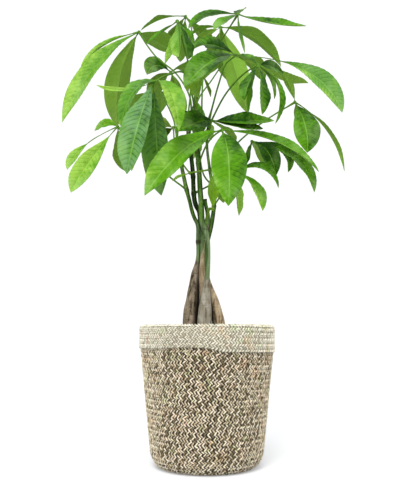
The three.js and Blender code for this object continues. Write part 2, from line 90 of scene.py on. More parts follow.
def unit(vector: np.ndarray) -> np.ndarray:
    """The vector at length one."""
    return vector / max(float(np.linalg.norm(vector)), 1e-12)


def square_to(vector: np.ndarray, axis: np.ndarray) -> np.ndarray:
    """The part of vector that is at right angles to axis, at length one."""
    return unit(vector - axis * float(vector @ axis))


def bearings(sides: int) -> np.ndarray:
    """The angles of a ring's points."""
    return 2 * math.pi * np.arange(sides) / sides


def smooth_step(low: float, high: float, value: np.ndarray | float) -> np.ndarray:
    """A soft rise from 0 at low to 1 at high.

    Args:
        low: Where the rise starts.
        high: Where the rise ends.
        value: The value or values to read it at.

    Returns:
        The height of the rise at each value.
    """
    share = np.clip((np.asarray(value, float) - low) / (high - low), 0.0, 1.0)
    return share * share * (3.0 - 2.0 * share)


def line_through(places: Sequence[Sequence[float]], steps: int) -> np.ndarray:
    """A smooth line through places, as a centripetal Catmull-Rom curve.

    Args:
        places: The points or rows of values that the line passes through.
        steps: How many pieces each span is cut into.

    Returns:
        The line's points, one row each.
    """
    def between(first: np.ndarray, second: np.ndarray, start: float, stop: float, at: float) -> np.ndarray:
        """The value at a knot value between two others."""
        return ((stop - at) * first + (at - start) * second) / (stop - start)

    rows = np.array(places, float)
    ends = np.vstack([2 * rows[0] - rows[1], rows, 2 * rows[-1] - rows[-2]])
    line = [rows[0]]
    for four in zip(ends, ends[1:], ends[2:], ends[3:]):
        gaps = [float(np.linalg.norm((b - a)[:3])) ** 0.5 for a, b in zip(four, four[1:])]
        knots = np.cumsum([0.0, *gaps])
        for at in np.linspace(knots[1], knots[2], steps + 1)[1:]:
            once = [between(four[i], four[i + 1], knots[i], knots[i + 1], at) for i in range(3)]
            twice = [between(once[i], once[i + 1], knots[i], knots[i + 2], at) for i in range(2)]
            line.append(between(twice[0], twice[1], knots[1], knots[2], at))
    return np.array(line)


def strip_faces(rows: int, columns: int, closed: bool) -> list[Face]:
    """The quads of a grid of points.

    Args:
        rows: How many rows of points there are.
        columns: How many points a row has.
        closed: Whether a row's last point joins its first.

    Returns:
        The faces, as point numbers from 0.
    """
    last = columns if closed else columns - 1
    return [
        (i * columns + j, i * columns + (j + 1) % columns, (i + 1) * columns + (j + 1) % columns,
         (i + 1) * columns + j)
        for i in range(rows - 1) for j in range(last)
    ]


def shell_faces(rows: int, columns: int) -> list[Face]:
    """The faces of a thin shell, whose lower grid of points is numbered on from its upper one.

    Args:
        rows: How many rows of points each grid has.
        columns: How many points a row has.

    Returns:
        The faces of both grids and of the edge between them.
    """
    upper = strip_faces(rows, columns, False)
    size = rows * columns
    border = (
        list(range(columns)) + [i * columns + columns - 1 for i in range(1, rows)]
        + [(rows - 1) * columns + j for j in range(columns - 2, -1, -1)]
        + [i * columns for i in range(rows - 2, 0, -1)]
    )
    return (
        upper + [tuple(size + k for k in reversed(face)) for face in upper]
        + [(a, size + a, size + b, b) for a, b in zip(border, border[1:] + border[:1])]
    )


class MeshDraft:
    """The points, faces and per-point values of a mesh while it is drawn up, in millimetres."""

    def __init__(self) -> None:
        """Starts an empty draft."""
        self.points: list[np.ndarray] = []
        self.faces: list[Face] = []
        self.values: dict[str, list[np.ndarray]] = {}
        self.count = 0

    def add(self, points: np.ndarray, faces: Iterable[Face], **values: np.ndarray) -> None:
        """Adds one closed form.

        Args:
            points: Its points, one row each.
            faces: Its faces, as point numbers that count from 0 in points.
            **values: A row of three for each point, by attribute name.
        """
        self.points.append(points)
        self.faces += [tuple(i + self.count for i in face) for face in faces]
        for name, rows in values.items():
            self.values.setdefault(name, []).append(rows)
        self.count += len(points)

    def tube(self, line: np.ndarray, radii: np.ndarray, sides: int, **values: np.ndarray) -> None:
        """Adds a round bar along a line, with closed ends.

        Args:
            line: The points of its middle.
            radii: Its radius at each point, or a row of radii, one for each side.
            sides: How many sides it has.
            **values: A row of three for each point of the line.
        """
        rings, across = [], np.array([0.0, 1.0, 0.0])
        radii = np.broadcast_to(radii.reshape(len(line), -1), (len(line), sides))
        angles = bearings(sides)
        for i, place in enumerate(line):
            along = unit(line[min(i + 1, len(line) - 1)] - line[max(i - 1, 0)])
            across = square_to(across, along)
            beside = np.cross(along, across)
            ring = np.outer(np.cos(angles), across) + np.outer(np.sin(angles), beside)
            rings.append(place + ring * radii[i][:, None])
        points = np.vstack([*rings, line[:1], line[-1:]])
        faces = strip_faces(len(line), sides, True)
        foot, end = len(line) * sides, (len(line) - 1) * sides
        for k in range(sides):
            after = (k + 1) % sides
            faces += [(foot, after, k), (foot + 1, end + k, end + after)]
        spread = {
            name: np.vstack([np.repeat(rows, sides, axis=0), rows[:1], rows[-1:]])
            for name, rows in values.items()
        }
        self.add(points, faces, **spread)

    def build(self, name: str, material: bpy.types.Material | None = None) -> bpy.types.Object:
        """Makes the object.

        Args:
            name: The object's name.
            material: Its finish, where a tree doesn't give it one later.

        Returns:
            The object, at the origin, with its place in its mesh.
        """
        mesh = bpy.data.meshes.new(name)
        mesh.from_pydata((np.vstack(self.points) * MM).tolist(), [], self.faces)
        for key, chunks in self.values.items():
            made = mesh.attributes.new(key, "FLOAT_VECTOR", "POINT")
            made.data.foreach_set("vector", np.vstack(chunks).astype(np.float32).ravel())
        mesh.shade_smooth()
        if material:
            mesh.materials.append(material)
        piece = bpy.data.objects.new(name, mesh)
        bpy.context.scene.collection.objects.link(piece)
        return piece


def lathe(profile: Sequence[Pair], sides: int) -> tuple[np.ndarray, list[Face]]:
    """A closed turned form.

    Args:
        profile: Its outline as (radius, height), from the middle of its underside round to the middle of its
            upper side. Both ends lie on the axis, or else the last point joins the first.
        sides: How many sides it has.

    Returns:
        Its points and its faces, which point outwards.
    """
    solid = profile[0][0] == 0 and profile[-1][0] == 0
    rows = list(profile[1:-1] if solid else profile)
    angles = bearings(sides)
    points = np.vstack([
        np.column_stack([r * np.cos(angles), r * np.sin(angles), np.full(sides, z)]) for r, z in rows
    ])
    faces = strip_faces(len(rows), sides, True)
    top = (len(rows) - 1) * sides
    if solid:
        low, high = len(points), len(points) + 1
        points = np.vstack([points, [0, 0, profile[0][1]], [0, 0, profile[-1][1]]])
        for k in range(sides):
            after = (k + 1) % sides
            faces += [(low, after, k), (high, top + k, top + after)]
    else:
        faces += [(top + k, top + (k + 1) % sides, (k + 1) % sides, k) for k in range(sides)]
    return points, faces


def turned_piece(
    name: str, profile: Sequence[Pair], sides: int, material: bpy.types.Material | None = None
) -> bpy.types.Object:
    """Makes a turned form.

    Args:
        name: The object's name.
        profile: Its outline, as lathe() takes it.
        sides: How many sides it has.
        material: Its finish, where a tree doesn't give it one later.

    Returns:
        The object.
    """
    draft = MeshDraft()
    draft.add(*lathe(profile, sides))
    return draft.build(name, material)


def seat(piece: bpy.types.Object, slot: Slot, *nodes: str) -> bpy.types.Object:
    """Lets a piece ride on the plant and puts it in place of its CAD nodes.

    Args:
        piece: The piece.
        slot: Its material slot; not used.
        *nodes: The CAD nodes that it stands for.

    Returns:
        The piece.
    """
    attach(piece, BODY)
    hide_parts(*nodes)
    LOG.info("%s: %d faces, in place of %s", piece.name, len(piece.data.polygons), ", ".join(nodes))
    return piece


# Node trees


@dataclass(frozen=True)
class Ramp:
    """A softened change, from start where a value is at low or under it to stop at high."""

    low: float
    high: float
    start: float = 0.0
    stop: float = 1.0


@dataclass(frozen=True)
class Grain:
    """A noise: its features for each metre, how much finer it is along each axis, and its finer layers."""

    scale: float
    stretch: Point = (1, 1, 1)
    detail: float = 3.0


@dataclass(frozen=True)
class Signal:
    """A value that runs through a node tree. Sums and products of it become Math nodes."""

    writer: "NodeWriter"
    socket: bpy.types.NodeSocket

    def __add__(self, other: "Signal | float") -> "Signal":
        """The sum."""
        return self.writer.math("ADD", self, other)

    def __radd__(self, other: float) -> "Signal":
        """The sum, with the number first."""
        return self.writer.math("ADD", other, self)

    def __sub__(self, other: "Signal | float") -> "Signal":
        """The difference."""
        return self.writer.math("SUBTRACT", self, other)

    def __rsub__(self, other: float) -> "Signal":
        """The difference, with the number first."""
        return self.writer.math("SUBTRACT", other, self)

    def __mul__(self, other: "Signal | float") -> "Signal":
        """The product."""
        return self.writer.math("MULTIPLY", self, other)

    def __abs__(self) -> "Signal":
        """The size without its sign."""
        return self.writer.math("ABSOLUTE", self)


class NodeWriter:
    """Adds nodes to a node tree and wires their sockets by name."""

    def __init__(self, tree: bpy.types.NodeTree) -> None:
        """Keeps the tree that the nodes go into."""
        self.tree = tree

    @staticmethod
    def _named(sockets: Iterable[bpy.types.NodeSocket], name: str) -> bpy.types.NodeSocket:
        """The socket in use that has this name."""
        return next(s for s in sockets if s.enabled and s.name == name)

    def feed(self, socket: bpy.types.NodeSocket, value: object) -> None:
        """Links or sets one input.

        Args:
            socket: The input.
            value: A signal, a node whose first output is meant, or a plain value.
        """
        if isinstance(value, bpy.types.Node):
            value = Signal(self, next(s for s in value.outputs if s.enabled))
        if isinstance(value, Signal):
            self.tree.links.new(value.socket, socket)
        elif isinstance(value, tuple) and socket.type == "RGBA" and len(value) == 3:
            socket.default_value = (*value, 1.0)
        else:
            socket.default_value = value

    def add(self, kind: str, settings: dict[str, object] | None = None, **inputs: object) -> bpy.types.Node:
        """Adds a node.

        Args:
            kind: The node's type name.
            settings: Its own options, by attribute name.
            **inputs: What its inputs get, by socket name with _ for a space.

        Returns:
            The node.
        """
        node = self.tree.nodes.new(kind)
        for name, value in (settings or {}).items():
            setattr(node, name, value)
        for name, value in inputs.items():
            self.feed(self._named(node.inputs, name.replace("_", " ")), value)
        return node

    def output(self, node: bpy.types.Node, name: str) -> Signal:
        """The node's output of this name."""
        return Signal(self, self._named(node.outputs, name))

    def math(self, operation: str, *values: object) -> Signal:
        """Adds a Math node.

        Args:
            operation: What it does.
            *values: What it works on, in order.

        Returns:
            Its result.
        """
        node = self.add("ShaderNodeMath", {"operation": operation})
        for socket, value in zip(node.inputs, values):
            self.feed(socket, value)
        return Signal(self, node.outputs[0])

    def vector_math(self, operation: str, *values: object) -> Signal:
        """Adds a Vector Math node.

        Args:
            operation: What it does.
            *values: What it works on, in order; SCALE takes a vector and a number.

        Returns:
            Its result.
        """
        node = self.add("ShaderNodeVectorMath", {"operation": operation})
        sockets = [node.inputs[0], node.inputs["Scale"]] if operation == "SCALE" else node.inputs
        for socket, value in zip(sockets, values):
            self.feed(socket, value)
        return Signal(self, node.outputs[0])

    def mix(self, share: object, first: object, second: object, blend: str = "MIX") -> Signal:
        """Mixes two colours.

        Args:
            share: How much of the second there is, as a number or a signal.
            first: A colour or a signal.
            second: A colour or a signal.
            blend: How the second goes over the first.

        Returns:
            The mixed colour.
        """
        node = self.add(
            "ShaderNodeMix", {"data_type": "RGBA", "blend_type": blend}, Factor=share, A=first, B=second
        )
        return self.output(node, "Result")

    def rise(self, value: Signal, ramp: Ramp) -> Signal:
        """Sends a value through a ramp.

        Args:
            value: The value.
            ramp: The ramp.

        Returns:
            The ramp's height at the value.
        """
        node = self.add(
            "ShaderNodeMapRange", {"interpolation_type": "SMOOTHSTEP"}, Value=value, From_Min=ramp.low,
            From_Max=ramp.high, To_Min=ramp.start, To_Max=ramp.stop,
        )
        return self.output(node, "Result")

    def random(self, low: object, high: object, seed: Signal) -> Signal:
        """Draws a number for each point.

        Args:
            low: The least that it can be.
            high: The most that it can be.
            seed: The seed of the draw.

        Returns:
            The numbers.
        """
        return self.output(self.add("FunctionNodeRandomValue", Min=low, Max=high, Seed=seed), "Value")

    def values_of(self, attribute: str) -> tuple[Signal, ...]:
        """Reads a piece's own attribute.

        Args:
            attribute: The attribute's name.

        Returns:
            Its three values.
        """
        read = self.add("ShaderNodeAttribute", {"attribute_type": "GEOMETRY", "attribute_name": attribute})
        split = self.add("ShaderNodeSeparateXYZ", Vector=self.output(read, "Vector"))
        return tuple(Signal(self, socket) for socket in split.outputs)

    def place(self) -> Signal:
        """The place on the piece, in Object coordinates."""
        return self.output(self.add("ShaderNodeTexCoord"), "Object")

    def noise(self, grain: Grain) -> Signal:
        """Adds a noise on Object coordinates.

        Args:
            grain: How coarse it is.

        Returns:
            The noise, about 0.5.
        """
        turned = self.add("ShaderNodeMapping", Vector=self.place(), Scale=grain.stretch)
        made = self.add("ShaderNodeTexNoise", Vector=turned, Scale=grain.scale, Detail=grain.detail)
        return Signal(self, made.outputs[0])

    def join(self, *parts: bpy.types.Node | Signal) -> bpy.types.Node:
        """Joins geometry.

        Args:
            *parts: What is joined, the last of it first in the mesh.

        Returns:
            The node.
        """
        joined = self.add("GeometryNodeJoinGeometry")
        for part in parts:
            self.feed(joined.inputs[0], part)
        return joined


def geometry_tree(name: str, **inputs: str) -> tuple[NodeWriter, dict[str, Signal]]:
    """Starts a Geometry Nodes tree that has one output, its geometry.

    Args:
        name: The tree's name.
        **inputs: The kind of each input, by the input's name with _ for a space.

    Returns:
        The writer that holds the tree, and each input's signal by the input's name.
    """
    tree = bpy.data.node_groups.new(name, "GeometryNodeTree")
    for key, kind in inputs.items():
        tree.interface.new_socket(key.replace("_", " "), in_out="INPUT", socket_type=f"NodeSocket{kind}")
    tree.interface.new_socket("Geometry", in_out="OUTPUT", socket_type="NodeSocketGeometry")
    nodes = NodeWriter(tree)
    given = nodes.add("NodeGroupInput")
    return nodes, {socket.name: Signal(nodes, socket) for socket in given.outputs}


def grow(piece: bpy.types.Object, tree: bpy.types.NodeTree, sizes: dict[str, object]) -> bpy.types.Object:
    """Runs a Geometry Nodes tree on a piece and keeps what it makes as the piece's own plain mesh.

    Args:
        piece: The piece, which is the tree's first input.
        tree: The tree.
        sizes: What the tree's other inputs get, by name.

    Returns:
        The piece, with no modifier on it.
    """
    modifier = piece.modifiers.new(tree.name, "NODES")
    modifier.node_group = tree
    for item in tree.interface.items_tree:
        if item.in_out == "INPUT" and item.name in sizes:
            modifier[item.identifier] = sizes[item.name]
    graph = bpy.context.evaluated_depsgraph_get()
    made = bpy.data.meshes.new_from_object(
        piece.evaluated_get(graph), preserve_all_data_layers=True, depsgraph=graph
    )
    piece.modifiers.clear()
    piece.data = made
    return piece


# Finishes


class Finish:
    """What every finish shares: a Principled shader, with a colour, a roughness and a relief laid on it."""

    name: str
    specular: float = 0.5
    bump_strength: float = 0.5
    bump_depth: float = 0.0

    @staticmethod
    def start(name: str) -> tuple[bpy.types.Material, NodeWriter, bpy.types.Node]:
        """Makes a new material.

        Args:
            name: Its name.

        Returns:
            The material, its writer and its Principled shader.
        """
        material = bpy.data.materials.new(name)
        material.use_nodes = True
        return material, NodeWriter(material.node_tree), material.node_tree.nodes["Principled BSDF"]

    def lay(
        self, nodes: NodeWriter, shader: bpy.types.Node, colour: Signal, roughness: Signal | float,
        height: Signal,
    ) -> None:
        """Lays the look on the shader.

        Args:
            nodes: The material's writer.
            shader: Its shader.
            colour: The colour.
            roughness: The roughness.
            height: The height of the relief, of which bump_depth is one.
        """
        nodes.feed(shader.inputs["Base Color"], colour)
        nodes.feed(shader.inputs["Roughness"], roughness)
        shader.inputs["Specular IOR Level"].default_value = self.specular
        bump = nodes.add(
            "ShaderNodeBump", Strength=self.bump_strength, Distance=self.bump_depth, Height=height
        )
        nodes.feed(shader.inputs["Normal"], bump)


@dataclass(frozen=True)
class PlaitFinish(Finish):
    """Seagrass strands of a plait: three strand colours, fine fibres, and patches where one prevails."""

    name: str
    light: Colour
    middle: Colour
    dark: Colour
    dark_share: float
    # How much painted shade darkens each strand towards its ends and sides, where it tucks under its
    # neighbours.
    edge_shade: float
    chance_share: float = 0.68
    patches: Grain = Grain(38.0, detail=2.0)
    patch_amount: float = 0.3
    middle_ramp: Ramp = Ramp(0.30, 0.55)
    dark_blend: float = 0.1
    fibre_rate: float = 26.0
    fibre_amount: float = 0.2
    fibre_grain: Grain = Grain(2400.0, detail=2.0)
    fibre_shade: Ramp = Ramp(0.35, 0.8, 0.0, 0.25)
    end_shade_ramp: Ramp = Ramp(0.3, 0.5)
    side_shade_ramp: Ramp = Ramp(0.25, 0.5)
    tints: tuple[tuple[Grain, Colour], ...] = (
        (Grain(95.0, detail=2.0), (1.0, 0.86, 0.78)), (Grain(130.0, detail=2.0), (0.90, 1.0, 0.82)),
    )
    tint_ramp: Ramp = Ramp(0.56, 0.70)
    roughness: float = 0.72
    specular: float = 0.35
    bump_depth: float = 0.00025

    def build(self) -> bpy.types.Material:
        """Makes the material, from strand_look (chance, strand, row) and strand_place (along, around).

        Returns:
            The material.
        """
        material, nodes, shader = self.start(self.name)
        chance, strand, _ = nodes.values_of("strand_look")
        along, around, _ = nodes.values_of("strand_place")
        choice = chance * self.chance_share + strand * (1 - self.chance_share)
        choice = choice + (nodes.noise(self.patches) - 0.5) * self.patch_amount
        dark_ramp = Ramp(1 - self.dark_share, 1 - self.dark_share + self.dark_blend)
        colour = nodes.mix(nodes.rise(choice, self.middle_ramp), self.light, self.middle)
        colour = nodes.mix(nodes.rise(choice, dark_ramp), colour, self.dark)
        fibres = nodes.math("SINE", around * self.fibre_rate) * self.fibre_amount
        fibres = fibres + nodes.noise(self.fibre_grain)
        colour = nodes.mix(nodes.rise(fibres, self.fibre_shade), colour, self.middle, "MULTIPLY")
        # Painted shade: each strand darkens towards its ends and sides.
        ends = nodes.rise(abs(along - 0.5), self.end_shade_ramp)
        sides = nodes.rise(abs(around - 0.5), self.side_shade_ramp)
        edge = nodes.math("MAXIMUM", ends, sides)
        colour = nodes.mix(edge * self.edge_shade, colour, self.dark, "MULTIPLY")
        for grain, tint in self.tints:
            colour = nodes.mix(nodes.rise(nodes.noise(grain), self.tint_ramp), colour, tint, "MULTIPLY")
        self.lay(nodes, shader, colour, self.roughness, fibres)
        return material


@dataclass(frozen=True)
class MottledFinish(Finish):
    """A plain matt surface in two mottled shades, for the basket's gaps painted as shade, the soil and the
    pot.
    """

    name: str
    shade: Colour
    light: Colour
    grain: float
    roughness: float
    bump_depth: float
    bump_strength: float = 0.6
    fineness: float = 5.0
    coarse_share: float = 0.6
    light_ramp: Ramp = Ramp(0.38, 0.64)

    def build(self) -> bpy.types.Material:
        """Makes the material.

        Returns:
            The material.
        """
        material, nodes, shader = self.start(self.name)
        coarse = nodes.noise(Grain(self.grain, detail=4.0))
        fine = nodes.noise(Grain(self.grain * self.fineness))
        both = coarse * self.coarse_share + fine * (1 - self.coarse_share)
        colour = nodes.mix(nodes.rise(both, self.light_ramp), self.shade, self.light)
        self.lay(nodes, shader, colour, self.roughness, both)
        return material


@dataclass(frozen=True)
class StemFinish(Finish):
    """A stem with corky bark at its foot, and smooth and green above, with streaks, scars and lenticels."""

    name: str
    bark: Colour
    bark_light: Colour
    bark_dark: Colour
    green: Colour
    green_light: Colour
    fresh: Colour = (0.030, 0.095, 0.006)
    fresh_light: Colour = (0.13, 0.27, 0.040)
    # The colours of the painted shade, on the green part and on the bark.
    green_shadow: Colour = (0.004, 0.014, 0.002)
    bark_shadow: Colour = (0.010, 0.007, 0.004)
    scar: Colour = (0.030, 0.017, 0.008)
    streaks: Grain = Grain(520.0, (1, 1, 0.14), 4.0)
    blotches: Grain = Grain(150.0, (1, 1, 0.6))
    rings: Grain = Grain(330.0, (0.35, 0.35, 1.6))
    stripes: Grain = Grain(300.0, (1, 1, 0.1))
    streak_ramp: Ramp = Ramp(0.34, 0.6)
    blotch_ramp: Ramp = Ramp(0.45, 0.68)
    bark_ring_ramp: Ramp = Ramp(0.56, 0.72, 0.0, 0.55)
    green_ring_ramp: Ramp = Ramp(0.58, 0.75, 0.0, 0.35)
    stripe_ramp: Ramp = Ramp(0.35, 0.65)
    fresh_ramp: Ramp = Ramp(1.0, 2.0)
    lenticel_scale: float = 330.0
    lenticel_ramp: Ramp = Ramp(0.12, 0.24, 1.0, 0.0)
    lenticel_share: float = 0.45
    lenticel_height: float = 0.25
    # How far the painted shade darkens the green part and the bark.
    green_painted_shade: float = 0.96
    bark_painted_shade: float = 0.97
    ragged: float = 0.9
    change_ramp: Ramp = Ramp(0.3, 0.7)
    scar_ramp: Ramp = Ramp(0.3, 0.6, 1.0, 0.8)
    roughness_ramp: Ramp = Ramp(0.0, 1.0, 0.85, 0.42)
    height_ramp: Ramp = Ramp(0.0, 1.0, 1.0, 0.12)
    specular: float = 0.12
    bump_strength: float = 0.8
    bump_depth: float = 0.0007

    def build(self) -> bpy.types.Material:
        """Makes the material, from stem_look (greenness, painted shade by other stems and on shaded flanks,
        scar).

        Returns:
            The material.
        """
        material, nodes, shader = self.start(self.name)
        greenness, painted_shade, scar = nodes.values_of("stem_look")
        streaks, blotches, rings = (nodes.noise(g) for g in (self.streaks, self.blotches, self.rings))
        bark = nodes.mix(nodes.rise(streaks, self.streak_ramp), self.bark_dark, self.bark)
        bark = nodes.mix(nodes.rise(blotches, self.blotch_ramp), bark, self.bark_light)
        bark = nodes.mix(nodes.rise(rings, self.bark_ring_ramp), bark, self.bark_dark)
        spots = nodes.add("ShaderNodeTexVoronoi", Vector=nodes.place(), Scale=self.lenticel_scale)
        lenticels = nodes.rise(nodes.output(spots, "Distance"), self.lenticel_ramp)
        bark = nodes.mix(lenticels * self.lenticel_share, bark, self.bark_light)
        # Painted shade: the bark darkens where another stem is near or a flank is shaded.
        bark = nodes.mix(painted_shade * self.bark_painted_shade, bark, self.bark_shadow)
        stripes = nodes.rise(nodes.noise(self.stripes), self.stripe_ramp)
        sap = nodes.mix(stripes, self.green, self.green_light)
        fresh = nodes.mix(stripes, self.fresh, self.fresh_light)
        sap = nodes.mix(nodes.rise(greenness, self.fresh_ramp), sap, fresh)
        sap = nodes.mix(nodes.rise(rings, self.green_ring_ramp), sap, self.bark_light)
        # Painted shade on the green part, likewise.
        sap = nodes.mix(painted_shade * self.green_painted_shade, sap, self.green_shadow)
        wander = (streaks - 0.5) + (rings - 0.5)
        change = nodes.rise(greenness + wander * self.ragged, self.change_ramp)
        colour = nodes.mix(change, bark, sap)
        colour = nodes.mix(scar * nodes.rise(streaks, self.scar_ramp), colour, self.scar)
        height = streaks + rings + lenticels * self.lenticel_height
        height = height * nodes.rise(change, self.height_ramp)
        self.lay(nodes, shader, colour, nodes.rise(change, self.roughness_ramp), height)
        return material


@dataclass(frozen=True)
class LeafFinish(Finish):
    """A leaf: green above, paler below, with veins, a light midrib, and painted shade and sheen in places."""

    name: str
    deep: Colour
    fair: Colour
    bright: Colour
    pale: Colour
    rib: Colour
    stalk: Colour
    # The colour of the painted sheen, lighter patches that grow towards the tips.
    painted_sheen: Colour = (0.31, 0.52, 0.15)
    # The colour of the painted grey sheen along the veins of leaflets that have sheen.
    grey: Colour = (0.17, 0.345, 0.14)
    vein_ramp: Ramp = Ramp(0.30, 0.5)
    vein_start: Ramp = Ramp(0.02, 0.2)
    vein_fade: Ramp = Ramp(0.55, 1.0, 1.0, 0.35)
    tone_grains: tuple[tuple[Grain, float], ...] = (
        (Grain(55.0, detail=2.0), 0.8), (Grain(210.0, detail=2.0), 0.6),
    )
    # Painted shade: one half of each blade darker than the other, as shade on its fold.
    fold_shade: float = 0.16
    tone_along: float = 0.34
    tone_middle: float = 0.65
    # Painted shade along the vein furrows, deeper on leaflets that have sheen.
    furrow: float = 0.12
    sheen_furrow: float = 0.22
    fair_ramp: Ramp = Ramp(-0.05, 0.55)
    bright_ramp: Ramp = Ramp(0.5, 1.05)
    painted_sheen_grain: Grain = Grain(62.0, (1, 1, 0.5), 2.0)
    painted_sheen_ramp: Ramp = Ramp(0.44, 0.70, 0.0, 0.30)
    painted_sheen_along: Ramp = Ramp(0.3, 0.9, 0.3, 1.5)
    grey_grain: Grain = Grain(80.0, detail=2.0)
    grey_ramp: Ramp = Ramp(0.3, 0.6, 0.35, 1.0)
    grey_lines: Ramp = Ramp(0.0, 0.9, 1.0, 0.5)
    pale_share: float = 0.72
    rib_ramp: Ramp = Ramp(0.02, 0.055, 1.0, 0.0)
    rib_share: float = 0.38
    cells: Grain = Grain(1500.0)
    cell_ramp: Ramp = Ramp(0.4, 0.75, 0.0, 0.18)
    cell_roughness: float = 0.12
    cell_height: float = 0.12
    vein_depth: float = 0.6
    roughness_ramp: Ramp = Ramp(0.0, 1.0, 0.34, 0.58)
    specular: float = 0.07
    bump_depth: float = 0.0004

    def build(self) -> bpy.types.Material:
        """Makes the material.

        It reads blade_place (along, across, vein), blade_look (tone, underside, stalk) and blade_sheen.

        Returns:
            The material.
        """
        material, nodes, shader = self.start(self.name)
        along, across, vein = nodes.values_of("blade_place")
        tone, underside, stalk = nodes.values_of("blade_look")
        sheen = nodes.values_of("blade_sheen")[0]
        side = abs(across)
        lines = nodes.rise(abs(nodes.math("FRACT", vein) - 0.5), self.vein_ramp)
        lines = lines * nodes.rise(side, self.vein_start) * nodes.rise(side, self.vein_fade)
        for grain, amount in self.tone_grains:
            tone = tone + (nodes.noise(grain) - 0.5) * amount
        # Painted shade: one half of the blade darker than the other, by its fold; lighter towards the tip.
        tone = tone + across * self.fold_shade + (along - self.tone_middle) * self.tone_along
        # Painted shade along the vein furrows.
        tone = tone - lines * (self.furrow + sheen * self.sheen_furrow)
        colour = nodes.mix(nodes.rise(tone, self.fair_ramp), self.deep, self.fair)
        colour = nodes.mix(nodes.rise(tone, self.bright_ramp), colour, self.bright)
        # Painted sheen: lighter patches, stronger towards the tip.
        painted_sheen = nodes.rise(nodes.noise(self.painted_sheen_grain), self.painted_sheen_ramp)
        colour = nodes.mix(painted_sheen * nodes.rise(along, self.painted_sheen_along), colour, self.painted_sheen)
        # Painted sheen: a grey glaze along the vein lines of leaflets that have sheen, in patches.
        grey = sheen * nodes.rise(lines, self.grey_lines)
        grey = grey * nodes.rise(nodes.noise(self.grey_grain), self.grey_ramp)
        colour = nodes.mix(grey, colour, self.grey)
        colour = nodes.mix(underside * self.pale_share, colour, self.pale)
        colour = nodes.mix(nodes.rise(side, self.rib_ramp) * self.rib_share, colour, self.rib)
        cells = nodes.noise(self.cells)
        colour = nodes.mix(nodes.rise(cells, self.cell_ramp), colour, self.deep)
        colour = nodes.mix(stalk, colour, self.stalk)
        roughness = nodes.rise(underside, self.roughness_ramp) + cells * self.cell_roughness
        self.lay(nodes, shader, colour, roughness, cells * self.cell_height - lines * self.vein_depth)
        return material


# Basket


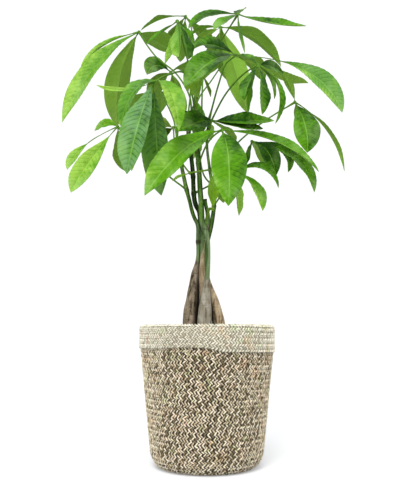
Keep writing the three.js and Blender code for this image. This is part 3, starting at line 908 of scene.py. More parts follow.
@dataclass
class PlaitTree:
    """The Geometry Nodes tree that lays plaited strands in rows of V shapes along a coil."""

    lean: float = math.radians(47.0)
    pitch: float = 3.3
    half_gap: float = 1.2
    size_spread: float = 0.16
    place_spread: float = 0.45
    lean_spread: float = 0.24
    size_seed: int = 3
    lean_seed: int = 7
    place_seed: int = 15
    length: float = 4.9
    width: float = 1.5
    height: float = 0.95
    sink: float = 0.25
    swell: float = 0.6
    stations: tuple[Pair, ...] = ((0.2, -0.3), (0.5, 0.0), (0.8, -0.1))
    outline: tuple[Pair, ...] = ((0.5, 0.0), (0.26, 1.0), (-0.26, 1.0), (-0.5, 0.0))
    foot_dip: float = -0.75
    head_dip: float = -0.5

    def strand(self) -> bpy.types.Object:
        """Makes one strand's crossing, which stands along Z, faces +X, and dips at its lower end.

        Returns:
            The strand.
        """
        sides = len(self.outline)
        points, places = [(self.foot_dip, 0.0, -self.length / 2)], [(0.0, 0.5, 0.0)]
        for share, dip in self.stations:
            swell = math.sin(math.pi * share) ** self.swell
            for number, (across, out) in enumerate(self.outline):
                points.append((
                    dip + out * self.height * swell - self.sink, across * self.width * swell,
                    (share - 0.5) * self.length,
                ))
                places.append((share, number / (sides - 1), 0.0))
        points.append((self.head_dip, 0.0, self.length / 2))
        places.append((1.0, 0.5, 0.0))
        last = len(points) - 1
        faces = [(0, 1 + (k + 1) % sides, 1 + k) for k in range(sides)]
        faces += [tuple(1 + i for i in face) for face in strip_faces(len(self.stations), sides, True)]
        faces += [(last, last - sides + k, last - sides + (k + 1) % sides) for k in range(sides)]
        draft = MeshDraft()
        draft.add(np.array(points), faces, strand_place=np.array(places))
        return draft.build("strand")

    def build(self) -> bpy.types.NodeTree:
        """Writes the tree.

        Returns:
            The tree, for dress().
        """
        nodes, given = geometry_tree(
            "plaited_coil", Core="Geometry", Coil="Object", Strand="Object", Stitch_pitch="Float",
            Strand_lean="Float", Half_gap="Float", Size_spread="Float", Place_spread="Float",
            Lean_spread="Float", Seed="Int", Strand_finish="Material", Core_finish="Material",
        )
        coil = nodes.add("GeometryNodeObjectInfo", Object=given["Coil"])
        curve = nodes.add("GeometryNodeMeshToCurve", Mesh=nodes.output(coil, "Geometry"))
        even = nodes.add(
            "GeometryNodeResampleCurve", {"mode": "LENGTH"}, Curve=curve, Length=given["Stitch pitch"]
        )
        spots = nodes.add("GeometryNodeCurveToPoints", {"mode": "EVALUATED"}, Curve=even)
        tangent = nodes.output(spots, "Tangent")
        kept = nodes.add("GeometryNodeInputNamedAttribute", {"data_type": "FLOAT_VECTOR"}, Name="outward")
        outward = nodes.output(kept, "Attribute")
        upward = nodes.vector_math("CROSS_PRODUCT", outward, tangent)
        facing = nodes.add("FunctionNodeAlignRotationToVector", {"axis": "X"}, Vector=outward)
        facing = nodes.add(
            "FunctionNodeAlignRotationToVector", {"axis": "Y", "pivot_axis": "X"}, Rotation=facing,
            Vector=tangent,
        )
        strand = nodes.output(nodes.add("GeometryNodeObjectInfo", Object=given["Strand"]), "Geometry")
        index = nodes.output(nodes.add("GeometryNodeInputIndex"), "Index")
        seed, strays, leans = (given[key] for key in ("Seed", "Place spread", "Lean spread"))
        rows = []
        for number, way in enumerate((1.0, -1.0)):
            shift = nodes.vector_math("SCALE", upward, given["Half gap"] * way)
            if number:
                half = nodes.vector_math("SCALE", tangent, given["Stitch pitch"] * 0.5)
                shift = nodes.vector_math("ADD", shift, half)
            stray = nodes.random(strays * -1.0, strays, seed + (number + self.place_seed))
            shift = nodes.vector_math("ADD", shift, nodes.vector_math("SCALE", tangent, stray))
            placed = nodes.add(
                "GeometryNodeSetPosition", Geometry=nodes.output(spots, "Points"), Offset=shift
            )
            lean = given["Strand lean"] * way + math.pi * number
            lean = lean + nodes.random(leans * -1.0, leans, seed + (number + self.lean_seed))
            turned = nodes.add(
                "FunctionNodeRotateRotation", {"rotation_space": "LOCAL"}, Rotation=facing,
                Rotate_By=nodes.add("FunctionNodeAxisAngleToRotation", Axis=(1, 0, 0), Angle=lean),
            )
            size = nodes.random(
                1.0 - given["Size spread"], 1.0 + given["Size spread"], seed + (number + self.size_seed)
            )
            laid = nodes.add(
                "GeometryNodeInstanceOnPoints", Points=placed, Instance=strand, Rotation=turned, Scale=size
            )
            look = nodes.add(
                "ShaderNodeCombineXYZ", X=nodes.random(0.0, 1.0, seed + number),
                Y=nodes.math("MODULO", index + number, 2.0), Z=float(number),
            )
            rows.append(nodes.add(
                "GeometryNodeStoreNamedAttribute", {"data_type": "FLOAT_VECTOR", "domain": "INSTANCE"},
                Geometry=laid, Name="strand_look", Value=look,
            ))
        real = nodes.add("GeometryNodeRealizeInstances", Geometry=nodes.join(*reversed(rows)))
        plait = nodes.add("GeometryNodeSetMaterial", Geometry=real, Material=given["Strand finish"])
        core = nodes.add("GeometryNodeSetMaterial", Geometry=given["Core"], Material=given["Core finish"])
        nodes.add("NodeGroupOutput", Geometry=nodes.join(plait, core))
        return nodes.tree

    def dress(
        self, core: bpy.types.Object, coil: bpy.types.Object, tree: bpy.types.NodeTree,
        strand: bpy.types.Object, finishes: tuple[bpy.types.Material, bpy.types.Material], seed: int,
    ) -> bpy.types.Object:
        """Covers a core with plait.

        Args:
            core: The wall under the plait.
            coil: The line that the plait follows, with its outward direction.
            tree: The tree from build().
            strand: The strand from strand().
            finishes: The finishes of the strands and of the core.
            seed: The seed of the strands' sizes and colours.

        Returns:
            The core's object with the plait in its mesh.
        """
        return grow(core, tree, {
            "Coil": coil, "Strand": strand, "Stitch pitch": self.pitch * MM, "Strand lean": self.lean,
            "Half gap": self.half_gap * MM, "Size spread": self.size_spread,
            "Place spread": self.place_spread * MM, "Lean spread": self.lean_spread, "Seed": seed,
            "Strand finish": finishes[0], "Core finish": finishes[1],
        })


class CoilRow(NamedTuple):
    """One turn of plait: its radius, height, outward direction as (radial, up), and its fall in the turn."""

    radius: float
    height: float
    out: Pair
    fall: float = 0.0


@dataclass
class Basket:
    """The coiled basket: a mixed plait below, and a pale plait for the last rows to the rim."""

    top_radius: float = 70.4
    foot_radius: float = 58.0
    foot_height: float = 17.0
    contact_radius: float = 46.0
    band_bottom: float = 116.8
    band_overhang: float = 1.4
    band_rows: int = 5
    row_pitch: float = 4.9
    wall: float = 6.0
    floor: float = 6.0
    skin: float = 0.75
    strand_bed: float = 0.35
    seam: float = 0.3
    ground_gap: float = 0.4
    hollow_foot: float = 20.0
    hollow_inset: float = 1.0
    wall_rows: int = 12
    foot_rows: int = 10
    foot_start: float = 0.05
    sides: int = 96
    coil_steps: int = 180
    walk_steps: int = 60
    walk_start: float = 0.02
    walk_end: float = 1.0
    look_ahead: float = 0.5
    least_outward: float = 0.5
    fall_heights: Pair = (12.0, 34.0)
    rim_round: float = 4.2
    rim_bearings: Pair = (18.0, 66.0)
    rim_seat: float = 0.5
    outer_edge: tuple[Pair, ...] = ((0.0, 5.0), (0.5, 3.2), (1.6, 1.9))
    inner_edge: tuple[Pair, ...] = ((1.9, 1.2), (0.7, 2.4))
    edge_bearings: tuple[float, ...] = (-180, -90, -45, -18, -2, 14, 55, 90, 180)
    edge_rises: tuple[float, ...] = (-0.6, 0.8, 1.2, 2.7, 2.4, -1.6, -2.6, -3.2, -0.6)
    edge_reach: float = 55.0
    body_seed: int = 11
    band_seed: int = 23
    plait: PlaitTree = field(default_factory=PlaitTree)

    @property
    def top(self) -> float:
        """The height of the rim."""
        return self.band_bottom + self.band_rows * self.row_pitch

    @property
    def slope(self) -> float:
        """How much the wall's radius grows with height."""
        rise = self.band_bottom - self.foot_height
        return (self.top_radius - self.band_overhang - self.foot_radius) / rise

    def body_radius(self, height: float) -> float:
        """The radius of the lower part's wall, with its rounded foot.

        Args:
            height: The height that it is read at.

        Returns:
            The radius at that height.
        """
        radius = self.foot_radius + self.slope * (height - self.foot_height)
        if height < self.foot_height:
            drop = 1 - height / self.foot_height
            radius -= (self.foot_radius - self.contact_radius) * (1 - math.sqrt(max(0.0, 1 - drop * drop)))
        return radius

    def slant(self, piece: bpy.types.Object) -> None:
        """Bends a piece's rows so that the pale band's lower edge rises and falls round the basket.

        Args:
            piece: The piece.
        """
        mesh = piece.data
        points = np.empty(len(mesh.vertices) * 3)
        mesh.vertices.foreach_get("co", points)
        points = points.reshape(-1, 3)
        bearing = np.degrees(np.arctan2(points[:, 0], -points[:, 1]))
        away = points[:, 2] / MM - self.band_bottom
        reach = np.where(away > 0, self.top - self.band_bottom, self.edge_reach)
        ease = np.clip(1 - np.abs(away) / reach, 0, 1)
        points[:, 2] += np.interp(bearing, self.edge_bearings, self.edge_rises) * ease * MM
        mesh.vertices.foreach_set("co", points.ravel())
        mesh.update()

    def coil(self, name: str, rows: Sequence[CoilRow]) -> bpy.types.Object:
        """Makes the line of a plait, with each row a turn that steps down once round.

        Args:
            name: The object's name.
            rows: The rows.

        Returns:
            A mesh of edges with the attribute outward.
        """
        mesh = bpy.data.meshes.new(name)
        starts = np.random.default_rng(len(rows)).uniform(0.0, 2 * self.plait.pitch, len(rows))
        points, outs, edges = [], [], []
        for (radius, height, (radial, rise), fall), start in zip(rows, starts):
            for step in range(self.coil_steps + 1):
                share = step / self.coil_steps
                angle = math.pi / 2 + start / radius + 2 * math.pi * share
                lowered = height - fall * (share - 0.5)
                leans = radial > self.least_outward
                wide = radius + (self.slope * (lowered - height) if leans else 0.0)
                if step:
                    edges.append((len(points) - 1, len(points)))
                points.append((wide * math.cos(angle) * MM, wide * math.sin(angle) * MM, lowered * MM))
                outs.append((radial * math.cos(angle), radial * math.sin(angle), rise))
        mesh.from_pydata(points, edges, [])
        made = mesh.attributes.new("outward", "FLOAT_VECTOR", "POINT")
        made.data.foreach_set("vector", np.array(outs, np.float32).ravel())
        line = bpy.data.objects.new(name, mesh)
        bpy.context.scene.collection.objects.link(line)
        return line

    def body_lines(self) -> list[CoilRow]:
        """Lays out the lower part, from the rim band down the wall and in round the foot.

        Returns:
            Its rows.
        """
        heights = np.concatenate([
            np.linspace(self.band_bottom, self.foot_height, self.walk_steps),
            self.foot_height * (1 - np.sin(np.linspace(self.walk_start, math.pi / 2, self.walk_steps))),
        ])
        wall = np.array([(self.body_radius(float(z)), z) for z in heights])
        walked = np.concatenate([[0.0], np.cumsum(np.linalg.norm(np.diff(wall, axis=0), axis=1))])
        rows = []
        for at in np.arange(self.row_pitch / 2, walked[-1] - self.walk_end, self.row_pitch):
            here, ahead = (
                np.array([float(np.interp(place, walked, wall[:, i])) for i in (0, 1)])
                for place in (at, at + self.look_ahead)
            )
            down = unit(ahead - here)
            out = (-float(down[1]), float(down[0]))
            seated = [float(here[i]) - self.skin * out[i] for i in (0, 1)]
            fall = self.row_pitch * float(smooth_step(*self.fall_heights, here[1]))
            rows.append(CoilRow(seated[0], seated[1], out, fall))
        return rows

    def band_lines(self) -> list[CoilRow]:
        """Lays out the rim band, on both sides of its wall and over its rounded top.

        Returns:
            Its rows.
        """
        inner = self.top_radius - self.wall
        rows = []
        for number in range(self.band_rows):
            height = self.band_bottom + (number + 0.5) * self.row_pitch
            if number < self.band_rows - 1:
                rows.append(CoilRow(self.top_radius - self.skin, height, (1.0, 0.0)))
            rows.append(CoilRow(inner + self.strand_bed, height - self.seam, (-1.0, 0.0)))
        for bearing in self.rim_bearings:
            out = (math.cos(math.radians(bearing)), math.sin(math.radians(bearing)))
            rows.append(CoilRow(
                self.top_radius - self.rim_round + (self.rim_round - self.skin) * out[0],
                self.top - self.rim_round + (self.rim_round - self.skin) * out[1], out,
            ))
        return rows

    def build(
        self, mixed: bpy.types.Material, pale: bpy.types.Material, inside: bpy.types.Material,
        pale_inside: bpy.types.Material,
    ) -> None:
        """Makes the lower part and the rim band.

        Args:
            mixed: The finish of the mixed plait.
            pale: The finish of the pale plait.
            inside: The finish of what shows between the mixed strands, painted darker than them as shade in
                the gaps.
            pale_inside: The finish of what shows between the pale strands, painted darker than them as shade
                in the gaps.
        """
        tree, strand = self.plait.build(), self.plait.strand()
        bed = self.skin + self.strand_bed
        top = self.band_bottom - self.seam
        wall = [
            (self.body_radius(z) - bed, z) for z in np.linspace(self.foot_height, top, self.wall_rows)
        ]
        turn = np.linspace(math.pi / 2, self.foot_start, self.foot_rows)
        foot = [
            (self.body_radius(float(z)) - bed, max(float(z), self.ground_gap))
            for z in self.foot_height * (1 - np.sin(turn))
        ]
        hollow = [
            (self.body_radius(top) - self.wall, top),
            (self.body_radius(self.hollow_foot) - self.wall, 2 * self.floor),
            (self.contact_radius - self.hollow_inset, self.floor), (0, self.floor),
        ]
        lower = self.plait.dress(
            turned_piece("basket_plait", [(0, self.ground_gap), *foot, *wall, *hollow], self.sides),
            self.coil("body_coil", self.body_lines()), tree, strand, (mixed, inside), self.body_seed,
        )
        inner, outer = self.top_radius - self.wall, self.top_radius - bed
        rim = self.plait.dress(
            turned_piece("rim_plait", [
                (inner + self.rim_seat, self.band_bottom), (outer, self.band_bottom),
                *((outer - inset, self.top - drop) for inset, drop in self.outer_edge),
                *((inner + inset, self.top - drop) for inset, drop in self.inner_edge),
            ], self.sides),
            self.coil("band_coil", self.band_lines()), tree, strand, (pale, pale_inside), self.band_seed,
        )
        for helper in ("strand", "body_coil", "band_coil"):
            bpy.data.objects.remove(bpy.data.objects[helper])
        for piece, slot, node in (
            (lower, Slot.BASKET_ROPE, "basket_body"), (rim, Slot.RIM_ROPE, "basket_band"),
        ):
            self.slant(piece)
            seat(piece, slot, node)


# Nursery pot and soil


@dataclass
class NurseryPot:
    """The thin plastic pot inside the basket, with a rolled lip."""

    foot: float = 6.3
    foot_radius: float = 46.0
    foot_round: float = 1.5
    top_radius: float = 60.0
    top: float = 121.0
    wall: float = 1.2
    lip: float = 1.8
    lip_height: float = 3.0
    lip_round: float = 0.4
    lip_curve: tuple[Pair, ...] = ((0.0, -0.8), (-0.5, -0.2), (-1.0, 0.0))
    floor_fall: float = 1.0
    sides: int = 96

    def radius(self, height: float) -> float:
        """The outer radius at a height."""
        share = (height - self.foot) / (self.top - self.foot)
        return self.foot_radius + (self.top_radius - self.foot_radius) * share

    def build(self, plastic: bpy.types.Material) -> bpy.types.Object:
        """Makes the pot.

        Args:
            plastic: Its finish.

        Returns:
            The pot.
        """
        under, edge = self.top - self.lip_height, self.top_radius + self.lip
        turn, inside = self.foot + self.foot_round, self.foot + self.wall
        profile = [
            (0, self.foot), (self.foot_radius - self.foot_round, self.foot), (self.radius(turn), turn),
            (self.radius(under), under), (edge - self.lip_round, under), (edge, under + self.lip_round),
            *((edge + out, self.top + up) for out, up in self.lip_curve),
            (self.top_radius - self.lip_round, self.top),
            (self.top_radius - self.wall, self.top - 2 * self.lip_round),
            (self.radius(under) - self.wall, under),
            (self.foot_radius - self.wall, inside + self.floor_fall), (0, inside),
        ]
        pot = turned_piece("nursery_pot", profile, self.sides, plastic)
        return seat(pot, Slot.LINER_PLASTIC, "liner_pot")


@dataclass
class Soil:
    """Loose potting soil, mounded a little, with crumbs on it."""

    top: float = 112.0
    mound: float = 2.0
    floor: float = 8.6
    gap: float = 0.4
    foot_gap: float = 1.0
    rings: int = 34
    sides: int = 120
    lumps: tuple[Pair, ...] = ((0.09, 1.6), (0.45, 0.8))
    plain_depth: float = 1.0
    plain_edge: float = 0.5
    crumbs_per_metre: float = 95000.0
    crumb_sizes: Pair = (1.0, 3.6)
    crumb_shape: Point = (1.0, 0.8, 0.6)
    crumb_turn: float = 6.3
    crumb_seed: int = 5
    least_level: float = 0.5

    def crumb_tree(self) -> bpy.types.NodeTree:
        """Writes the Geometry Nodes tree that strews crumbs over the soil's upper side.

        Returns:
            The tree.
        """
        nodes, given = geometry_tree(
            "soil_crumbs", Soil="Geometry", Density="Float", Smallest="Float", Largest="Float", Seed="Int",
            Finish="Material",
        )
        normal = nodes.add("ShaderNodeSeparateXYZ", Vector=nodes.add("GeometryNodeInputNormal"))
        spots = nodes.add(
            "GeometryNodeDistributePointsOnFaces", Mesh=given["Soil"],
            Selection=nodes.math("GREATER_THAN", nodes.output(normal, "Z"), self.least_level),
            Density=given["Density"], Seed=given["Seed"],
        )
        crumb = nodes.add("GeometryNodeMeshIcoSphere", Radius=0.5, Subdivisions=1)
        turn = nodes.add(
            "FunctionNodeRandomValue", {"data_type": "FLOAT_VECTOR"}, Min=(0, 0, 0),
            Max=(self.crumb_turn,) * 3, Seed=given["Seed"],
        )
        size = nodes.add(
            "FunctionNodeRandomValue", {"data_type": "FLOAT_VECTOR"},
            Min=nodes.vector_math("SCALE", self.crumb_shape, given["Smallest"]),
            Max=nodes.vector_math("SCALE", self.crumb_shape, given["Largest"]), Seed=given["Seed"] + 1,
        )
        laid = nodes.add(
            "GeometryNodeInstanceOnPoints", Points=nodes.output(spots, "Points"),
            Instance=nodes.output(crumb, "Mesh"), Rotation=turn, Scale=size,
        )
        real = nodes.add("GeometryNodeRealizeInstances", Geometry=laid)
        joined = nodes.join(real, given["Soil"])
        dressed = nodes.add("GeometryNodeSetMaterial", Geometry=joined, Material=given["Finish"])
        nodes.add("NodeGroupOutput", Geometry=dressed)
        return nodes.tree

    def build(self, pot: NurseryPot, earth: bpy.types.Material) -> bpy.types.Object:
        """Makes the soil.

        Args:
            pot: The pot that it fills.
            earth: Its finish.

        Returns:
            The soil with its crumbs, as one piece.
        """
        rim = pot.radius(self.top) - pot.wall - self.gap
        foot = pot.radius(self.floor) - pot.wall - self.foot_gap
        profile = [(0, self.floor), (foot, self.floor), (rim, self.top)]
        profile += [
            (rim * (1 - i / self.rings), self.top + self.mound * i / self.rings)
            for i in range(1, self.rings)
        ]
        points, faces = lathe([*profile, (0, self.top + self.mound)], self.sides)
        for point in points:
            inside = math.hypot(point[0], point[1]) < rim - self.plain_edge
            if inside and point[2] > self.top - self.plain_depth:
                point[2] += sum(depth * noise.noise(Vector(point) * rate) for rate, depth in self.lumps)
        draft = MeshDraft()
        draft.add(points, faces)
        piece = grow(draft.build("potting_soil", earth), self.crumb_tree(), {
            "Density": self.crumbs_per_metre, "Smallest": self.crumb_sizes[0] * MM,
            "Largest": self.crumb_sizes[1] * MM, "Seed": self.crumb_seed, "Finish": earth,
        })
        return seat(piece, Slot.SOIL, "soil")


# Stems


@dataclass(frozen=True)
class Stem:
    """One of the stems: a thick corky foot that tapers into a thin green stem, or the short side shoot.

    Its places are rows (x, y, height, radius), and its shaded_sides rows (height, left share, right share)
    say how much painted shade darkens its left and right flanks. It turns green at green_from, higher on its
    right by green_tilt.
    """

    name: str
    node: str
    places: tuple[tuple[float, float, float, float], ...]
    green_from: float
    green_tilt: float
    scars: tuple[float, ...]
    finish: StemFinish
    # How strong the painted shade is where another stem is near.
    painted_shade: float = 1.0
    girth: float = 0.0
    shaded_sides: tuple[Point, ...] = ((0.0, 0.0, 0.0),)
    sides: int = 30
    steps: int = 10
    change_length: float = 10.0
    # How far that painted shade reaches, and how much of it the green part loses.
    painted_shade_share: float = 0.85
    painted_shade_ramp: Pair = (1.0, 0.15)
    green_painted_shade_loss: float = 0.75
    fresh_from: float = 242.0
    fresh_to: float = 256.0
    cork_radii: Pair = (2.6, 5.5)
    furrow_width: float = 1.3
    furrow_length: float = 0.016
    furrows: tuple[Pair, ...] = ((1.9, 0.07), (4.6, 0.04))
    knot_length: float = 0.14
    knot_depth: float = 0.03
    joint_length: float = 2.2
    joint_swell: float = 0.5
    tilt_reach: float = 3.0
    side_ramp: Pair = (0.1, 0.8)
    ring_drop: float = 0.4
    scar_ring: Pair = (2.2, 1.5)
    joint_ring: Pair = (0.9, 0.5)

    def line(self) -> np.ndarray:
        """The middle line, with its radius as a fourth value."""
        return line_through(self.places, self.steps) + (0.0, 0.0, 0.0, self.girth)

    def nearness(self, points: np.ndarray, depths: np.ndarray, others: Sequence["Stem"]) -> np.ndarray:
        """How close points are to another stem's surface, for the painted shade where the stems meet.

        Args:
            points: The points.
            depths: For each point, how far from the other stem its surface starts to darken.
            others: The other stems.

        Returns:
            A value for each point, from 0 to 1 where the stems touch.
        """
        near = np.zeros(len(points))
        for other in others:
            line = other.line()
            apart = np.linalg.norm(points[:, None] - line[None, :, :3], axis=2) - line[None, :, 3]
            near = np.maximum(near, smooth_step(*self.painted_shade_ramp, apart.min(axis=1) / depths))
        return near

    def girths(self, line: np.ndarray, joints: Sequence[float]) -> np.ndarray:
        """The stem's radii, furrowed and knotted where it is corky, and swollen at joints and scars.

        Args:
            line: Its middle line, with its radius as a fourth value.
            joints: The heights at which leaves grow from it.

        Returns:
            A row of radii for each point of the line, one for each side.
        """
        cork = smooth_step(*self.cork_radii, line[:, 3])
        rows = []
        for (_, _, height, wide), corky in zip(line, cork):
            row = []
            for angle in bearings(self.sides):
                reach = Vector((
                    math.cos(angle) * self.furrow_width, math.sin(angle) * self.furrow_width,
                    height * self.furrow_length + len(self.name),
                ))
                relief = sum(noise.noise(reach * rate) * depth for rate, depth in self.furrows)
                knot = Vector((angle, height * self.knot_length, 3.0 + len(self.node)))
                relief += noise.noise(knot) * self.knot_depth
                row.append(wide * (1 + corky * relief))
            rows.append(row)
        radii = np.array(rows)
        for height in (*joints, *self.scars):
            bulge = np.exp(-(((line[:, 2] - height) / self.joint_length) ** 2)) * self.joint_swell
            radii += (bulge * (1 - cork))[:, None]
        return radii

    def looks(
        self, points: np.ndarray, line: np.ndarray, joints: Sequence[float], others: Sequence["Stem"]
    ) -> np.ndarray:
        """What the finish reads at each point.

        Args:
            points: The points of the stem's surface.
            line: Its middle line, with its radius as a fourth value.
            joints: The heights at which leaves grow from it.
            others: The other stems.

        Returns:
            A row (greenness, crease, scar) for each point.
        """
        heights = points[:, 2]
        middle = np.interp(heights, line[:, 2], line[:, 0])
        start = self.green_from + self.green_tilt * np.clip((points[:, 0] - middle) / self.tilt_reach, -1, 1)
        green = smooth_step(-self.change_length, self.change_length, heights - start)
        green += smooth_step(self.fresh_from, self.fresh_to, heights)
        radius = np.append(np.repeat(line[:, 3], self.sides), line[[0, -1], 3])
        # Painted shade: darker where another stem is near, less so where the stem is green.
        painted_shade = self.nearness(points, self.painted_shade_share * radius, others) * self.painted_shade
        painted_shade *= 1 - self.green_painted_shade_loss * np.minimum(green, 1)
        across = (points[:, 0] - middle) / radius
        # Painted shade on the left and right flanks, by height.
        rises, lefts, rights = np.array(self.shaded_sides).T
        for reach, shares in ((-across, lefts), (across, rights)):
            flank_shade = smooth_step(*self.side_ramp, reach) * np.interp(heights, rises, shares)
            painted_shade = np.maximum(painted_shade, flank_shade)
        scar = np.zeros(len(points))
        for marks, (length, depth) in ((self.scars, self.scar_ring), (joints, self.joint_ring)):
            for height in marks:
                ring = np.exp(-(((heights - height + self.ring_drop) / length) ** 2))
                scar = np.maximum(scar, np.minimum(ring * depth, 1))
        return np.column_stack([green, painted_shade, scar])

    def build(self, joints: Sequence[float], others: Sequence["Stem"]) -> bpy.types.Object:
        """Makes the stem.

        Args:
            joints: The heights at which leaves grow from it.
            others: The other stems, beside which its surface is painted darker, as shade.

        Returns:
            The stem, as one piece.
        """
        line = self.line()
        draft = MeshDraft()
        draft.tube(line[:, :3], self.girths(line, joints), self.sides)
        draft.values["stem_look"] = [self.looks(draft.points[0], line, joints, others)]
        return seat(draft.build(self.name, self.finish.build()), Slot.BARK, self.node)


# Leaves


@dataclass(frozen=True)
class Leaflet:
    """One leaflet: middle and tip of its midrib, width, roll, tone, share of bare stalk, and painted grey
    sheen.
    """

    mid: Point
    tip: Point
    width: float
    roll: float
    tone: float
    bare: float = 0.05
    sheen: float = 0.0


class Spot(NamedTuple):
    """A place on a blade.

    It holds the place along the leaflet (0 to 1) and across it (-1 to 1), half the width there, how full the
    relief is, and how many side veins lie before it.
    """

    along: float
    across: float
    half: float
    body: float
    veins: float


@dataclass(frozen=True)
class LeafShape:
    """The shape that all leaflets share."""

    widest: float = 0.6
    stalk_share: float = 0.05
    bare_shift: float = 0.4
    least_half: float = 0.32
    swell: float = 1.15
    bluntness: float = 0.65
    point: float = 0.2
    outward_lean: float = 0.45
    sway: float = 0.6
    sway_rate: float = 7.3
    roll_sway: float = 5.0
    roll_rate: float = 1.6
    fold: float = 0.33
    fold_ease: float = 0.22
    edge_wave: float = 0.05
    wave_rate: float = 15.0
    ripple: float = 0.3
    ripple_rates: Point = (17.0, 5.0, 3.0)
    least_veins: int = 6
    vein_spacing: float = 5.6
    vein_slope: float = 0.55
    vein_curve: float = 0.3
    vein_rows: int = 5
    even_share: float = 0.97
    tip_rows: tuple[float, ...] = (0.98, 0.988, 0.994, 0.998, 1.0)
    body_start: Pair = (0.0, 0.12)
    body_end: Pair = (1.0, 0.86)
    pucker: float = 0.40
    pucker_reach: Pair = (0.03, 0.3)
    pucker_half: float = 7.0
    sheen_quilt: float = 1.2
    thickness: float = 0.34
    edge_thinning: float = 0.45
    rib_height: float = 0.75
    rib_width: float = 0.14
    rib_taper: float = 0.7
    rib_groove: float = 0.3
    neck: float = 0.09
    neck_radii: Pair = (1.0, 0.55)
    neck_sides: int = 8
    columns: tuple[float, ...] = (0.0, 0.05, 0.14, 0.3, 0.48, 0.66, 0.83, 0.95, 1.0)

    def half_width(self, share: np.ndarray, width: float, bare: float) -> np.ndarray:
        """The outline of a blade, with its first part a bare stalk.

        Args:
            share: How far along the leaflet each place is, from 0 to 1.
            width: The blade's full width.
            bare: The share of the leaflet that is bare stalk.

        Returns:
            Half the blade's width at each place.
        """
        widest = self.widest + self.bare_shift * (bare - self.stalk_share)
        over = np.clip((share - widest) / (1 - widest), 0, 1)
        along = np.clip((share - bare) / (widest - bare), 0, 1)
        tip = np.cos(math.pi / 2 * over) ** (self.bluntness + self.point * over**2)
        base = np.sin(math.pi / 2 * along) ** self.swell
        return np.maximum(np.where(share >= widest, tip, base) * width / 2, self.least_half)

    def body(self, share: np.ndarray) -> np.ndarray:
        """How full the blade's relief is at each share of its length."""
        return smooth_step(*self.body_start, share) * smooth_step(*self.body_end, share)

    def lift(self, spot: Spot, number: int, sheen: float) -> float:
        """How far the blade's middle layer stands up from its midrib, by its fold, quilting and ripples.

        Args:
            spot: The place on the blade.
            number: The leaflet's number on its leaf.
            sheen: Its grey sheen, which goes with a deeper quilting.

        Returns:
            The height.
        """
        reach = abs(spot.across)
        side = 1 if spot.across > 0 else -1
        fold = self.fold + self.edge_wave * math.sin(self.wave_rate * spot.along + side)
        height = spot.half * fold * reach * (1 + self.fold_ease - self.fold_ease * reach * reach)
        groove = abs(2 * (spot.veins - math.floor(spot.veins)) - 1)
        puff = (1 - groove * groove) * float(smooth_step(*self.pucker_reach, reach))
        quilt = self.pucker * (1 + self.sheen_quilt * sheen)
        height += quilt * (puff - 0.5) * spot.body * min(1.0, spot.half / self.pucker_half)
        by_length, by_number, by_side = self.ripple_rates
        wave = math.sin(by_length * spot.along + by_number * number + by_side * spot.across)
        return height + self.ripple * spot.body * wave * reach ** 2


